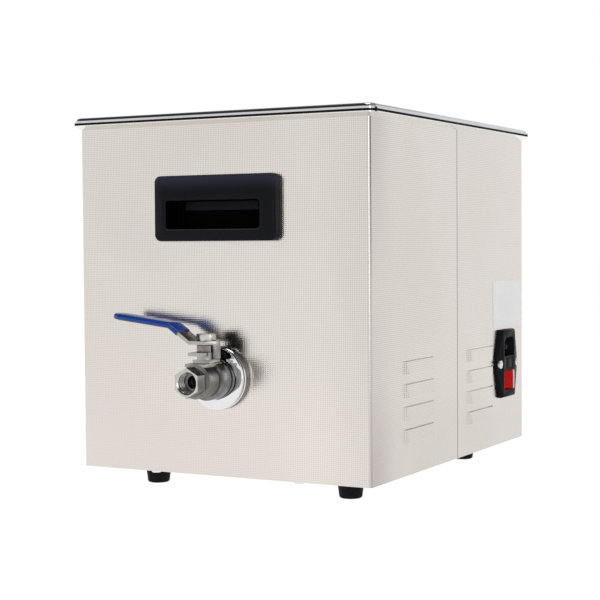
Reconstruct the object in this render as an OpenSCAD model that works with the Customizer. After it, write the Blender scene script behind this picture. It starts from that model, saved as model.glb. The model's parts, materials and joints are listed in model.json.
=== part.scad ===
// Bench-top ultrasonic cleaner with a drain valve.
// +Z is up and the floor is z = 0. The drain valve is on the +X side, the back is +Y, the controls are on -Y.

/* [Housing] */
// Length of the housing from side to side
body_l = 322; // [300:1:360]
// Depth of the housing from front to back
body_w = 256; // [245:1:290]
// Height of the wrapped sheet
wrap_h = 269.4; // [258:0.2:300]
// Thickness of the housing sheet
sheet = 1; // [0.8:0.1:1.4]
// Outside radius of the housing's bends
bend_r = 2.5; // [2:0.1:4]
// Width of the lip turned in under the housing
lip_w = 16; // [12:1:20]
// Place of the back seam, from the middle
seam_x = -4; // [-8:0.5:6]
// Gap of the back seam
seam_gap = 0.8; // [0.4:0.1:1.2]
// Width of the strip behind the seam
seam_strip_w = 20; // [14:1:26]
// Thickness of the base plate
base_t = 1.2; // [1:0.1:2]
// Thread diameter of the small screws
screw_d = 4; // [3:0.5:5]
// Head diameter of the small screws
screw_head_d = 7.6; // [6:0.2:9]
// Head height of the small screws
screw_head_h = 2.2; // [1.6:0.2:3]

/* [Rim] */
// How far the rim stands out from the housing
rim_overhang = 6; // [4:0.1:8]
// Height of the slope under the rim
flare_h = 2.8; // [2:0.1:6]
// Height of the frame's edge above its slope
frame_edge = 0.6; // [0.4:0.1:1.5]
// Thickness of the frame's collar inside the housing
collar_t = 1; // [0.8:0.1:1.3]
// Depth of the frame's collar inside the housing
collar_h = 14; // [8:1:20]
// Thickness of the black seal
seal_t = 1.8; // [1:0.1:2.4]
// How far the seal sits back from the rim's edge
seal_recess = 0.3; // [0.1:0.1:0.8]
// Width of the rim's flat outer edge
rim_lip = 1.3; // [0.8:0.1:2]
// Height of the rim's rounded nose
rim_rise = 3; // [2:0.1:6]

/* [Tank] */
// Height of the space for the drive under the tank
drive_h = 129.4; // [122:0.2:142]
// Thickness of the tank's sheet
tank_t = 1.2; // [1:0.1:1.5]
// Free gap between the tank and the housing's sides
tank_gap_side = 11; // [9:0.5:20]
// Free gap between the tank and the housing's front and back
tank_gap_back = 8; // [7:0.5:20]
// Radius of the tank's upright corners
tank_r = 24; // [18:1:40]
// Radius between the tank's wall and floor
floor_r = 10; // [6:1:14]
// Radius where the tank's wall turns out into the rim
entry_r = 3; // [2:0.2:4]
// Diameter of the drain in the tank's floor
drain_d = 14; // [10:0.5:15]

/* [Feet] */
// Height of the housing above the floor
stand_h = 17; // [14:1:24]
// Diameter of a foot at the housing
foot_top_d = 22; // [20:0.5:28]
// Diameter of a foot at the floor
foot_bottom_d = 18; // [16:0.5:20]
// Radius of a foot's lower edge
foot_round = 2; // [1:0.1:3]
// Depth of the screw hole in a foot's sole
foot_bore_h = 9; // [6:0.5:11]
// Distance of the feet from the housing's sides
foot_inset_side = 47; // [32:1:70]
// Distance of the feet from the housing's front and back
foot_inset_back = 40; // [32:1:60]

/* [Handles] */
// Length of a handle
handle_l = 107; // [100:1:120]
// Height of a handle
handle_h = 50.4; // [44:0.2:60]
// Distance of the handles' middle below the housing's top
handle_drop = 64; // [50:0.2:75]
// Place of the handles from the middle, towards the back
handle_y = 0; // [-10:0.5:10]
// How far a handle's rim stands out
handle_rim = 8.5; // [5:0.5:10]
// How far a handle's face rises above its rim
handle_crown = 1.5; // [1:0.5:4]
// Corner radius of a handle
handle_r = 5; // [3:0.5:8]
// Length of the finger pocket
pocket_l = 83; // [74:1:86]
// Height of the finger pocket
pocket_h = 21.6; // [18:0.2:24]
// How far the pocket sits below the handle's middle
pocket_drop = 5; // [0:0.2:6]
// Corner radius of the finger pocket
pocket_r = 2.5; // [1.5:0.1:4]
// Wall of the finger pocket
pocket_wall = 1.6; // [1.2:0.1:2.4]
// Height of the grip rib in the pocket
grip_rib_h = 7.5; // [5:0.5:9]
// Thickness of the grip rib in the pocket
grip_rib_t = 4; // [2:0.5:5]
// Length of the grip rib in the pocket
grip_rib_l = 65.6; // [50:0.2:70]

/* [Drain valve] */
// Place of the valve from the middle, towards the back
valve_y = 1; // [-10:0.5:10]
// Height of the valve's axis above the housing's foot
valve_h = 75.8; // [70:0.2:82]
// Distance of the outlet's face from the housing
outlet_reach = 49; // [46:0.5:54]
// Distance of the lever's stem from the housing
stem_reach = 20.5; // [20:0.5:24]
// Core diameter of the outlet's thread
outlet_d = 15; // [14:0.2:15.6]
// Length of the outlet's thread
thread_l = 8.4; // [7:0.2:10]
// Width across the flats of the outlet's hexagon
outlet_af = 19.8; // [19:0.2:21]
// Length of the outlet's hexagon
outlet_flat_l = 10.5; // [8:0.5:12]
// Diameter of the valve's barrel
barrel_d = 31; // [30.5:0.5:36]
// Diameter of the valve's port
port_d = 10; // [8:0.2:10.4]
// Diameter of the ball
ball_d = 17; // [16.6:0.2:17.4]
// Length of a ball seat
seat_l = 3.6; // [3:0.1:4]
// Diameter of the disc at the housing
disc_d = 48; // [46:0.5:56]
// Thickness of the disc at the housing
disc_t = 8; // [6:0.5:9]
// Diameter of the pipe through the housing
nipple_d = 20.8; // [19:0.2:21]
// Bore of the pipe through the housing
nipple_bore_d = 13; // [11:0.2:14]
// Width across the flats of the lock nut inside the housing
locknut_af = 30; // [28:0.5:34]
// Thickness of the lock nut inside the housing
locknut_t = 6; // [5:0.5:8]

/* [Lever] */
// Diameter of the stem
stem_d = 8; // [7:0.2:9]
// Diameter of the valve's neck
neck_d = 14.4; // [14:0.2:14.8]
// Height of the neck's top above the valve's axis
neck_h = 21; // [20.5:0.5:24]
// Width of the plate on the neck
stop_w = 10; // [9:0.1:10.4]
// How far the plate on the neck stands out towards the outlet and the lever's grip
stop_reach = 10; // [7.5:0.5:10.5]
// Thickness of the plate on the neck
stop_t = 2.5; // [2:0.1:3]
// Width across the flats of the gland nut
gland_af = 12.5; // [12:0.1:13]
// Height of the gland nut
gland_h = 5.5; // [3:0.5:6]
// Width of the lever
lever_w = 16; // [14:0.5:18]
// Thickness of the lever
lever_t = 2.6; // [2:0.1:3.2]
// Length of the lever from the stem to its tip
lever_l = 81; // [75:1:95]
// Length of the lever's flat on the side of its grip
lever_flat = 11; // [10:0.5:15]
// Length of the lever's upward bend, measured flat
lever_ramp = 18.5; // [12:0.5:22]
// Rise of the lever's upward bend
lever_rise = 12.8; // [10:0.2:20]
// Rise of the lever's grip from its bend to its tip
lever_tilt = 6.2; // [0:0.2:8]
// Distance of the lever's stop tab from the stem
tab_reach = 10.4; // [10.4:0.1:12]
// Wall of the lever's soft sleeve
sleeve_wall = 1.3; // [0.8:0.1:1.8]
// Height of the nut on the lever
lever_nut_h = 5.4; // [5:0.2:8]
// Width across the flats of the nut on the lever
lever_nut_af = 13; // [12:0.5:15]

/* [Louvres] */
// Width of a louvre
louvre_w = 60; // [48:1:62]
// Height of a louvre
louvre_h = 10.5; // [9:0.5:12]
// How far a louvre stands out
louvre_out = 2.6; // [2.4:0.1:3.2]
// Length of a louvre's sloping ends
louvre_run = 7; // [6:0.5:9]
// Distance between the rows of louvres
louvre_pitch = 17.4; // [15:0.2:19]
// Height of the lowest louvre's mouth above the housing's foot
louvre_mouth = 25.4; // [20:0.2:32]
// Distance between the two groups of louvres
louvre_group_pitch = 130; // [118:1:136]
// Gap between the inlet and the louvres beside it
louvre_gap = 5.5; // [0.6:0.1:8]

/* [Mains inlet] */
// Place of the mains inlet from the middle
inlet_x = -115; // [-116:0.5:-100]
// Height of the inlet's middle above the housing's foot
inlet_mid = 70.5; // [66:0.5:80]
// Height of the inlet's face
inlet_h = 60; // [58:0.5:66]
// Width of the inlet's face at its ends
inlet_end_w = 30; // [27:0.5:32]
// Width of the inlet across its ears
inlet_ear_w = 50; // [48:0.5:54]
// Thickness of the inlet's ears
inlet_ear_t = 2; // [1.5:0.1:3]
// How far the inlet's face stands out
inlet_out = 4.2; // [4:0.1:8]
// Width of the inlet's body behind the sheet
inlet_body_w = 27.4; // [26.6:0.2:28]
// Height of the inlet's body behind the sheet
inlet_body_h = 50; // [49:0.5:52]
// Depth of the inlet's body behind the sheet
inlet_depth = 26; // [24:0.5:30]
// Distance between the inlet's screws
inlet_screw_pitch = 40; // [40:0.5:42]
// Width of the plug socket
socket_w = 24; // [23:0.2:24.4]
// Height of the plug socket
socket_h = 16.4; // [15:0.2:16.8]
// Depth of the plug socket
socket_depth = 17; // [14:0.5:20]
// Distance of the socket and the switch from the inlet's middle
inlet_pair = 14.8; // [14.6:0.1:15.2]
// Width of the switch's rocker
rocker_w = 23.6; // [22:0.2:24]
// Height of the switch's rocker
rocker_h = 16.4; // [15:0.2:16.6]
// Tilt of the rocker to either side
rocker_tilt = 8; // [6:0.5:10]
// Width of the fuse drawer
drawer_w = 14; // [12:0.5:16]
// Height of the fuse drawer
drawer_h = 8.4; // [8:0.1:8.8]
// Length of the cartridge fuse
fuse_l = 20; // [18:0.5:20.5]
// Diameter of the cartridge fuse
fuse_d = 5; // [4.4:0.1:5.4]

/* [Label] */
// Width of the blank label
label_w = 70; // [60:1:76]
// Height of the blank label
label_h = 40.8; // [30:0.2:60]
// Thickness of the blank label
label_t = 0.2; // [0.1:0.05:0.4]
// Gap between the inlet and the label
label_gap = 2.2; // [1:0.1:6]
// Distance of the label from the housing's side
label_inset = 5; // [4:0.5:12]

/* [Control panel] */
// Length of the control panel
panel_l = 200; // [190:1:230]
// Height of the control panel
panel_h = 70; // [66:1:80]
// Thickness of the control panel
panel_t = 3.5; // [3:0.1:5]
// Height of the panel's middle above the housing's foot
panel_mid = 73; // [65:1:80]
// Corner radius of the control panel
panel_r = 6; // [3:0.5:10]
// Width of a display window
window_w = 56; // [46:1:64]
// Height of a display window
window_h = 20; // [16:0.5:22]
// Thickness of a display window
window_t = 2; // [1.5:0.1:2.6]
// Diameter of a button
button_d = 12; // [10:0.2:14]
// Distance between the buttons
button_pitch = 29; // [25:0.5:30]
// Travel of a button
button_travel = 1; // [0.6:0.1:1.2]
// How far a button stands out of the panel
button_out = 1.6; // [1.4:0.1:2.4]

/* [Ultrasonic drive] */
// Diameter of a transducer at the tank
horn_d = 58; // [50:1:62]
// Height of a transducer's horn
horn_h = 26; // [22:0.5:30]
// Diameter of the piezo rings
piezo_d = 38; // [34:0.5:42]
// Thickness of a piezo ring
piezo_t = 6; // [4:0.5:7]
// Gap for the contact plate between two piezo rings
piezo_gap = 0.4; // [0.2:0.1:1]
// Height of a transducer's tail mass
tail_h = 18; // [14:0.5:22]
// Thread diameter of a transducer's bolt
bolt_d = 10; // [8:0.5:12]
// Distance of the transducers from the middle, sideways
transducer_x = 64; // [58:1:70]
// Distance of the transducers from the middle, front to back
transducer_y = 58; // [54:1:66]
// Length of a heater pad
heater_l = 200; // [160:1:220]
// Height of a heater pad
heater_h = 80; // [60:1:100]
// Thickness of a heater pad
heater_t = 2; // [1.5:0.1:3]

/* [Electronics] */
// Length of the generator board
board_l = 170; // [150:1:180]
// Width of the generator board
board_w = 110; // [100:1:120]
// Thickness of the circuit boards
board_t = 1.6; // [1.2:0.1:2]
// Gap between the generator board and the housing's side
board_gap = 18; // [14:1:26]
// Height of the generator board's posts
post_h = 10; // [8:0.5:14]
// Diameter of the boards' posts
post_d = 6; // [5:0.2:8]
// Diameter of a wire
wire_d = 3; // [2:0.1:3.4]

/* [Clearances] */
// Clearance of pieces that seat in each other
seat_fit = 0.05; // [0.03:0.01:0.1]
// Clearance of pieces that run in each other
run_fit = 0.06; // [0.04:0.01:0.1]
// Clearance of pieces that move past each other
free_fit = 0.3; // [0.25:0.05:0.5]

/* [Hidden] */
$fn = 64;

// Overshoot of a cut past the face it opens
cut = 1;
// Least radius of a rounded corner
least_r = 0.3;

// Levels above the floor
base_z = stand_h;
plate_z = base_z + sheet;
plate_top = plate_z + base_t;
wrap_top = base_z + wrap_h;
frame_top = wrap_top + flare_h + frame_edge;
seal_top = frame_top + seal_t;
rim_top = seal_top + tank_t + rim_rise;
tank_under = base_z + drive_h;
tank_floor = tank_under + tank_t;
tank_depth = rim_top - tank_floor;
handle_z = wrap_top - handle_drop;
valve_z = base_z + valve_h;
inlet_z = base_z + inlet_mid;
panel_z = base_z + panel_mid;

// Screws
screw_r = screw_d / 2;
screw_head_r = screw_head_d / 2;
screw_hole_r = screw_r + seat_fit;
screw_past = 3;
screw_cover = 1.5;
screw_room = 0.5;

// Housing, tank and rim
strip_gap = 2;
plate_gap = 0.5;
tank_l = body_l - 2 * (sheet + tank_gap_side + tank_t);
tank_w = body_w - 2 * (sheet + tank_gap_back + tank_t);
frame_root = sheet + seat_fit + collar_t / 2;
nose_x = rim_overhang - rim_lip;
nose_r = min(rim_rise, bend_r + nose_x - least_r);

// Feet
foot_x = body_l / 2 - foot_inset_side;
foot_y = body_w / 2 - foot_inset_back;
foot_head_room = 0.6;

// Handles
tub_gap = 1.5;
tub_depth = sheet + tank_gap_side - tub_gap;
handle_out = handle_rim + handle_crown;
handle_face_margin = 7;
handle_screw_x = (handle_l + pocket_l) / 4 + pocket_wall / 2;
handle_screw_l = handle_rim - screw_cover;

// Drain valve, measured outwards from the housing along its axis
ball_r = ball_d / 2;
port_r = port_d / 2;
barrel_r = barrel_d / 2;
seat_inset = 0.1;
seat_out = ball_r - seat_inset;
seat_r = ball_r - 2 * seat_inset;
cavity_gap = 0.6;
cavity_r = ball_r + cavity_gap;
mouth_l = 1.2;
outlet_floor = outlet_reach - mouth_l - thread_l;
outlet_corner_r = outlet_af / 2 / cos(30);
split_in = 0.5;
split = stem_reach - cavity_r + split_in;
split_groove = 0.5;
joint_l = 2.8;
joint_wall = 2;
joint_r = cavity_r + joint_wall;
nipple_r = nipple_d / 2;
tail_wall = 3.2;
tail_r = nipple_r + tail_wall;
nipple_grip = 3;
nipple_end = disc_t + nipple_grip;
barb_wall = 2;
barb_r = nipple_bore_d / 2 + barb_wall;
barb_l = 20;
barb_tip = sheet + locknut_t + barb_l;
hose_bore_r = barb_r + seat_fit;
hose_wall = 3;
hose_r = barb_r + hose_wall;
drain_drop = tank_under - valve_z;
hose_bend_part = 0.57;
hose_bend_r = drain_drop * hose_bend_part;
hose_slack = 2;
hose_end_gap = 1;
drain_x = body_l / 2 - barb_tip - hose_slack - hose_bend_r;
spigot_l = drain_drop - hose_bend_r - hose_slack;
spigot_flange_t = 2;
spigot_flange_w = 8;
clamp_w = 8;
clamp_t = 0.8;
clamp_gap = 4;
clamp_box_l = 13;
clamp_box_h = 7;

// Stem and lever, measured upwards from the valve's axis
stem_r = stem_d / 2;
collar_step = 1.4;
collar_r = stem_r + collar_step;
collar_rise = 1.6;
collar_top = cavity_r + collar_rise;
packing_web = 2;
packing_z = collar_top + packing_web;
neck_wall = 1.6;
packing_r = neck_d / 2 - neck_wall;
follower_l = 1;
follower_z = neck_h - stop_t - follower_l;
gland_top = neck_h + gland_h;
lever_gap = 0.5;
lever_z = gland_top + lever_gap;
lever_nut_z = lever_z + lever_t;
stem_sink = 0.6;
stem_top = lever_nut_z + lever_nut_h - stem_sink;
tab_w = 6.6;
tab_gap = 0.9;
tab_taper = 4;
tab_bottom = barrel_r + tab_gap;
tang_w = 5;
tang_h = 2.6;
tang_floor = ball_r - tang_h;
stem_gap = 0.1;
stem_foot = ball_r + stem_gap;
lever_path = [
    [-tab_reach, lever_z],
    [lever_flat, lever_z],
    [lever_flat + lever_ramp, lever_z + lever_rise],
    [lever_l, lever_z + lever_rise + lever_tilt]
];
bare_part = 0.58;
sleeve_start = lever_path[1] + (lever_path[2] - lever_path[1]) * bare_part;
sleeve_path = [sleeve_start, lever_path[2], lever_path[3] + [sleeve_wall, 0]];

// Louvres
louvre_rows = 4;
louvre_lean = 0.8;
louvre_step = 0.6;
louvre_near_x = inlet_x + inlet_ear_w / 2 + louvre_gap + louvre_w / 2;

// Mains inlet, measured outwards from the back
socket_floor = inlet_out - socket_depth;
rocker_r = rocker_w / 2;
rocker_sink = 4.2;
rocker_axis = inlet_out - rocker_sink;
rocker_middle = 2.2;
rocker_pin_r = 1.5;
rocker_pin_l = 1.2;
drawer_end = 1;
drawer_front = 3;
drawer_back = inlet_out - drawer_front - fuse_l - drawer_end;
ear_step = 0.3;
ear_screw_z = inlet_ear_t + ear_step;
pin_pitch = 7;
pin_w = 4;
pin_t = 2;
pin_rise = 3;
pin_drop = 1;
pin_recess = 5;
pin_end = inlet_out - pin_recess;
terminal_l = 9;
terminal_end = -inlet_depth - terminal_l;
label_x = -body_l / 2 + label_inset + label_w / 2;
label_z = inlet_z + inlet_h / 2 + label_gap + label_h / 2;

// Control panel, measured outwards from the front
button_count = 6;
button_r = button_d / 2;
button_flange = 1.4;
button_flange_r = button_r + button_flange;
button_flange_t = 1.8;
button_flange_back = -button_flange_t - free_fit;
switch_top = button_flange_back - button_travel - free_fit;
switch_h = 4;
switch_w = 6;
switch_case_h = 3;
switch_pin_d = 3.4;
control_board_z = switch_top - switch_h;
control_board_gap = 1;
button_row = -18.5;
window_row = 14;
window_sink = 0.2;
window_z = panel_t - window_t - window_sink;
window_ledge = 1.2;
panel_edge = 8;
panel_cut_l = panel_l - 2 * panel_edge;
panel_cut_h = panel_h - 2 * panel_edge;
control_post_x = panel_cut_l / 2 - post_d;
control_post_y = panel_cut_h / 2 - post_d / 2 - control_board_gap;

// Ultrasonic drive
horn_tip_r = piezo_d / 2;
horn_z = tank_under - horn_h;
piezo_z = horn_z - 2 * piezo_t - piezo_gap;
tail_z = piezo_z - tail_h;
bolt_r = bolt_d / 2;
bolt_hole_r = bolt_r + seat_fit;
bolt_depth = 14;
bolt_end_gap = 1;
bolt_head_r = 8;
bolt_head_h = 8;
piezo_bore_gap = 2;
piezo_bore_r = bolt_r + piezo_bore_gap;
heater_lift = 6;
thermostat_d = 18;
thermostat_cap_h = 6;
thermostat_base = [12, 8, 12];

// Generator board
board_x = -body_l / 2 + sheet + board_gap + board_l / 2;
board_y = -4;
board_z = plate_top + post_h;
board_top = board_z + board_t;
board_margin = 6;
sink_l = 96;
sink_w = 34;
sink_h = 30;
sink_base = 5;
sink_fins = 9;
fin_t = 1.6;
core_l = 46;
core_w = 30;
core_h = 34;
coil_r = 16;
lead_lift = 8;
lead_bend = 4;

// Outline helpers

// Rectangle with round corners, centred
module rounded_rect(l, w, r) {
    square([l - 2 * r, w], center = true);
    square([l, w - 2 * r], center = true);
    for (x = [-1, 1], y = [-1, 1]) {
        translate([x * (l / 2 - r), y * (w / 2 - r)]) circle(r);
    }
}

// Band between two concentric rounded rectangles that lie inset and inset + t inside the housing
module inset_band(inset, t) {
    difference() {
        rounded_rect(body_l - 2 * inset, body_w - 2 * inset, max(least_r, bend_r - inset));
        rounded_rect(body_l - 2 * (inset + t), body_w - 2 * (inset + t), max(least_r, bend_r - inset - t));
    }
}

// Quarter of a ring in the quadrant given by the signs qx and qy
module quarter_ring(r_in, r_out, qx, qy) {
    intersection() {
        difference() {
            circle(r_out);
            circle(r_in);
        }
        translate([min(qx, 0) * r_out, min(qy, 0) * r_out]) square(r_out);
    }
}

// Profile carried round a rounded rectangle, its x measured outwards from the outline
module ring_sweep(l, w, r) {
    for (flip = [0, 1]) {
        mirror([0, flip, 0]) translate([r - l / 2, w / 2 - r, 0]) rotate([90, 0, 90])
            linear_extrude(l - 2 * r) translate([r, 0]) children();
        mirror([flip, 0, 0]) translate([l / 2 - r, w / 2 - r, 0]) rotate([90, 0, 0])
            linear_extrude(w - 2 * r) translate([r, 0]) children();
    }
    for (fx = [0, 1], fy = [0, 1]) {
        mirror([fx, 0, 0]) mirror([0, fy, 0]) translate([l / 2 - r, w / 2 - r, 0])
            rotate_extrude(angle = 90) translate([r, 0]) children();
    }
}

// Direction across the leg that starts at point i of path p
function across(p, i) = let (v = p[i + 1] - p[i]) [-v.y, v.x] / norm(v);
// Point i of path p, moved across by d and mitred
function mitred(p, i, d) = let (
    a = across(p, max(i - 1, 0)),
    b = across(p, min(i, len(p) - 2))
) p[i] + d * (a + b) / (1 + a * b);
// Outline of a strip along path p between the offsets d0 and d1
function strip(p, d0, d1) = concat(
    [for (i = [0 : len(p) - 1]) mitred(p, i, d0)],
    [for (i = [len(p) - 1 : -1 : 0]) mitred(p, i, d1)]
);

// Hexagonal prism, given across its flats
module hex_prism(af, h) {
    cylinder(r = af / 2 / cos(30), h = h, $fn = 6);
}

// Pan-head screw with its head's top at z = 0 and its shank towards +z
module pan_screw(l) {
    cylinder(r = screw_head_r, h = screw_head_h);
    translate([0, 0, screw_head_h]) cylinder(r = screw_r, h = l);
}

// Wire of straight lengths through the given points
module wire(points) {
    for (i = [0 : len(points) - 2]) {
        v = points[i + 1] - points[i];
        translate(points[i]) rotate([0, acos(v.z / norm(v)), atan2(v.y, v.x)])
            cylinder(d = wire_d, h = norm(v));
    }
    for (i = [1 : len(points) - 2]) translate(points[i]) sphere(d = wire_d);
}

// Places: each turns its children's z outwards from one side of the machine

module on_right(y, z) {
    translate([body_l / 2, y, z]) rotate([90, 0, 90]) children();
}

module on_back(x, z) {
    translate([x, body_w / 2, z]) rotate([90, 0, 180]) children();
}

module on_front(x, z) {
    translate([x, -body_w / 2, z]) rotate([90, 0, 0]) children();
}

module at_valve() {
    translate([body_l / 2, valve_y, valve_z]) children();
}

// Turned shape along the valve's axis from s outwards
module along_axis(s) {
    translate([s, 0, 0]) rotate([0, 90, 0]) children();
}

module at_stem() {
    at_valve() translate([stem_reach, 0, 0]) children();
}

module at_feet() {
    for (x = [-1, 1], y = [-1, 1]) translate([x * foot_x, y * foot_y, 0]) children();
}

module at_base_screws() {
    for (x = [-1, 1], y = [-1, 1]) {
        translate([x * (body_l - lip_w) / 2, y * body_w / 4, 0]) children();
        translate([x * body_l / 4, y * (body_w - lip_w) / 2, 0]) children();
    }
}

module at_louvres() {
    for (group = [0, 1], row = [0 : louvre_rows - 1]) {
        translate([
            louvre_near_x + group * louvre_group_pitch,
            body_w / 2,
            base_z + louvre_mouth + row * louvre_pitch
        ]) children();
    }
}

module at_transducers() {
    for (x = [-1, 1], y = [-1, 1]) translate([x * transducer_x, y * transducer_y, 0]) children();
}

// Housing

// Louvre's shape: its face leans out towards the open foot, and its top and ends slope back to the sheet
module louvre_body(w, h, depth, root) {
    intersection() {
        translate([-w / 2 - cut, 0, 0]) rotate([90, 0, 90]) linear_extrude(w + 2 * cut) polygon([
            [-root, 0],
            [depth, 0],
            [depth - louvre_lean, h - louvre_step],
            [0, h],
            [-root, h]
        ]);
        translate([0, 0, -cut]) linear_extrude(h + 2 * cut) polygon([
            [-w / 2, -root - cut],
            [w / 2, -root - cut],
            [w / 2, 0],
            [w / 2 - louvre_run, louvre_out],
            [louvre_run - w / 2, louvre_out],
            [-w / 2, 0]
        ]);
    }
}

module louvre_hood() {
    louvre_body(louvre_w, louvre_h, louvre_out, sheet / 2);
}

module louvre_void() {
    end_wall = sheet * louvre_run / louvre_out;
    top_wall = sheet + louvre_step;
    louvre_body(louvre_w - 2 * end_wall, louvre_h - top_wall, louvre_out - sheet, sheet + cut);
}

module housing_wrap() {
    color([0.85, 0.83, 0.8]) difference() {
        union() {
            translate([0, 0, base_z]) linear_extrude(wrap_h) inset_band(0, sheet);
            translate([0, 0, base_z]) linear_extrude(sheet) inset_band(0, lip_w);
            at_louvres() louvre_hood();
        }
        at_louvres() louvre_void();
        translate([seam_x - seam_gap / 2, body_w / 2 - lip_w - cut, base_z - cut])
            cube([seam_gap, lip_w + 2 * cut, wrap_h + 2 * cut]);
        handle_places() translate([0, -pocket_drop, -sheet - cut]) linear_extrude(sheet + 2 * cut)
            rounded_rect(
                pocket_l + 2 * (pocket_wall + seat_fit),
                pocket_h + 2 * (pocket_wall + seat_fit),
                pocket_r + pocket_wall
            );
        at_handle_screws() translate([0, 0, -sheet - cut]) cylinder(r = screw_hole_r, h = sheet + 2 * cut);
        at_valve() along_axis(-sheet - cut) cylinder(r = nipple_r + seat_fit, h = sheet + 2 * cut);
        on_back(inlet_x, inlet_z) translate([0, 0, -sheet - cut]) linear_extrude(sheet + 2 * cut)
            square([inlet_body_w + 2 * seat_fit, inlet_body_h + 2 * seat_fit], center = true);
        at_ear_screws() translate([0, 0, -sheet - cut]) cylinder(r = screw_hole_r, h = sheet + 2 * cut);
        on_front(0, panel_z) translate([0, 0, -sheet - cut]) linear_extrude(sheet + 2 * cut)
            square([panel_cut_l, panel_cut_h], center = true);
        at_base_screws() translate([0, 0, base_z - cut]) cylinder(r = screw_hole_r, h = sheet + 2 * cut);
    }
}

module seam_strip() {
    strip_z = plate_top + strip_gap;
    color("silver") translate([seam_x - seam_strip_w / 2, body_w / 2 - 2 * sheet, strip_z])
        cube([seam_strip_w, sheet, wrap_top - collar_h - strip_gap - strip_z]);
}

module top_frame() {
    color([0.8, 0.79, 0.77]) {
        ring_sweep(body_l, body_w, bend_r) polygon([
            [-frame_root, wrap_top],
            [0, wrap_top],
            [rim_overhang, wrap_top + flare_h],
            [rim_overhang, frame_top],
            [-frame_root, frame_top]
        ]);
        translate([0, 0, wrap_top - collar_h]) linear_extrude(frame_top - wrap_top + collar_h)
            inset_band(sheet + seat_fit, collar_t);
    }
}

module rim_seal() {
    color([0.05, 0.05, 0.05]) ring_sweep(body_l, body_w, bend_r)
        translate([nose_x - 2 * tank_t, frame_top])
            square([rim_lip + 2 * tank_t - seal_recess, seal_t]);
}

// Section of the rim, measured outwards from the housing
module rim_profile() {
    translate([nose_x - tank_t, seal_top]) square([rim_lip + tank_t, tank_t]);
    translate([nose_x - tank_t, seal_top]) square([tank_t, rim_top - nose_r - seal_top]);
    translate([nose_x - nose_r, rim_top - nose_r]) quarter_ring(nose_r - tank_t, nose_r, 1, 1);
}

// Section of the tank's wall, measured outwards from its inside
module tank_profile() {
    translate([-floor_r, tank_floor + floor_r]) quarter_ring(floor_r, floor_r + tank_t, 1, -1);
    translate([0, tank_floor + floor_r]) square([tank_t, tank_depth - floor_r - entry_r]);
    translate([entry_r, rim_top - entry_r]) quarter_ring(entry_r - tank_t, entry_r, -1, 1);
}

module tank() {
    color([0.75, 0.76, 0.78]) difference() {
        union() {
            ring_sweep(body_l, body_w, bend_r) rim_profile();
            translate([0, 0, rim_top - tank_t]) linear_extrude(tank_t) difference() {
                rounded_rect(
                    body_l + 2 * (nose_x - nose_r), body_w + 2 * (nose_x - nose_r), bend_r + nose_x - nose_r
                );
                rounded_rect(tank_l + 2 * entry_r, tank_w + 2 * entry_r, tank_r + entry_r);
            }
            ring_sweep(tank_l, tank_w, tank_r) tank_profile();
            translate([0, 0, tank_under]) linear_extrude(tank_t)
                rounded_rect(tank_l - 2 * floor_r, tank_w - 2 * floor_r, tank_r - floor_r);
        }
        translate([drain_x, valve_y, tank_under - cut]) cylinder(d = drain_d, h = tank_t + 2 * cut);
    }
}

module base_plate() {
    edge = sheet + plate_gap;
    color("silver") difference() {
        translate([0, 0, plate_z]) linear_extrude(base_t)
            rounded_rect(body_l - 2 * edge, body_w - 2 * edge, max(least_r, bend_r - edge));
        at_feet() translate([0, 0, plate_z - cut]) cylinder(r = screw_hole_r, h = base_t + 2 * cut);
        at_base_screws() translate([0, 0, plate_z - cut]) cylinder(r = screw_hole_r, h = base_t + 2 * cut);
    }
}

module base_screws() {
    color("dimgray") at_base_screws() translate([0, 0, base_z - screw_head_h])
        pan_screw(sheet + base_t + screw_past);
}

module foot(x, y) {
    bottom_r = foot_bottom_d / 2;
    color([0.06, 0.06, 0.06]) translate([x * foot_x, y * foot_y, 0]) difference() {
        rotate_extrude() {
            polygon([
                [0, 0],
                [bottom_r - foot_round, 0],
                [bottom_r, foot_round],
                [foot_top_d / 2, plate_z],
                [0, plate_z]
            ]);
            translate([bottom_r - foot_round, foot_round]) circle(foot_round);
        }
        translate([0, 0, -cut]) cylinder(r = screw_head_r + foot_head_room, h = foot_bore_h + cut);
        translate([0, 0, -cut]) cylinder(r = screw_hole_r, h = plate_z + 2 * cut);
    }
}

module foot_front_left() foot(-1, -1);
module foot_front_right() foot(1, -1);
module foot_back_left() foot(-1, 1);
module foot_back_right() foot(1, 1);

module foot_screws() {
    color("dimgray") at_feet() translate([0, 0, foot_bore_h - screw_head_h])
        pan_screw(plate_top - foot_bore_h + screw_past);
}

// Handles

module handle_places() {
    for (side = [0, 1]) mirror([side, 0, 0]) on_right(handle_y, handle_z) children();
}

module at_handle_screws() {
    handle_places() for (x = [-1, 1]) translate([x * handle_screw_x, 0, 0]) children();
}

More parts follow.
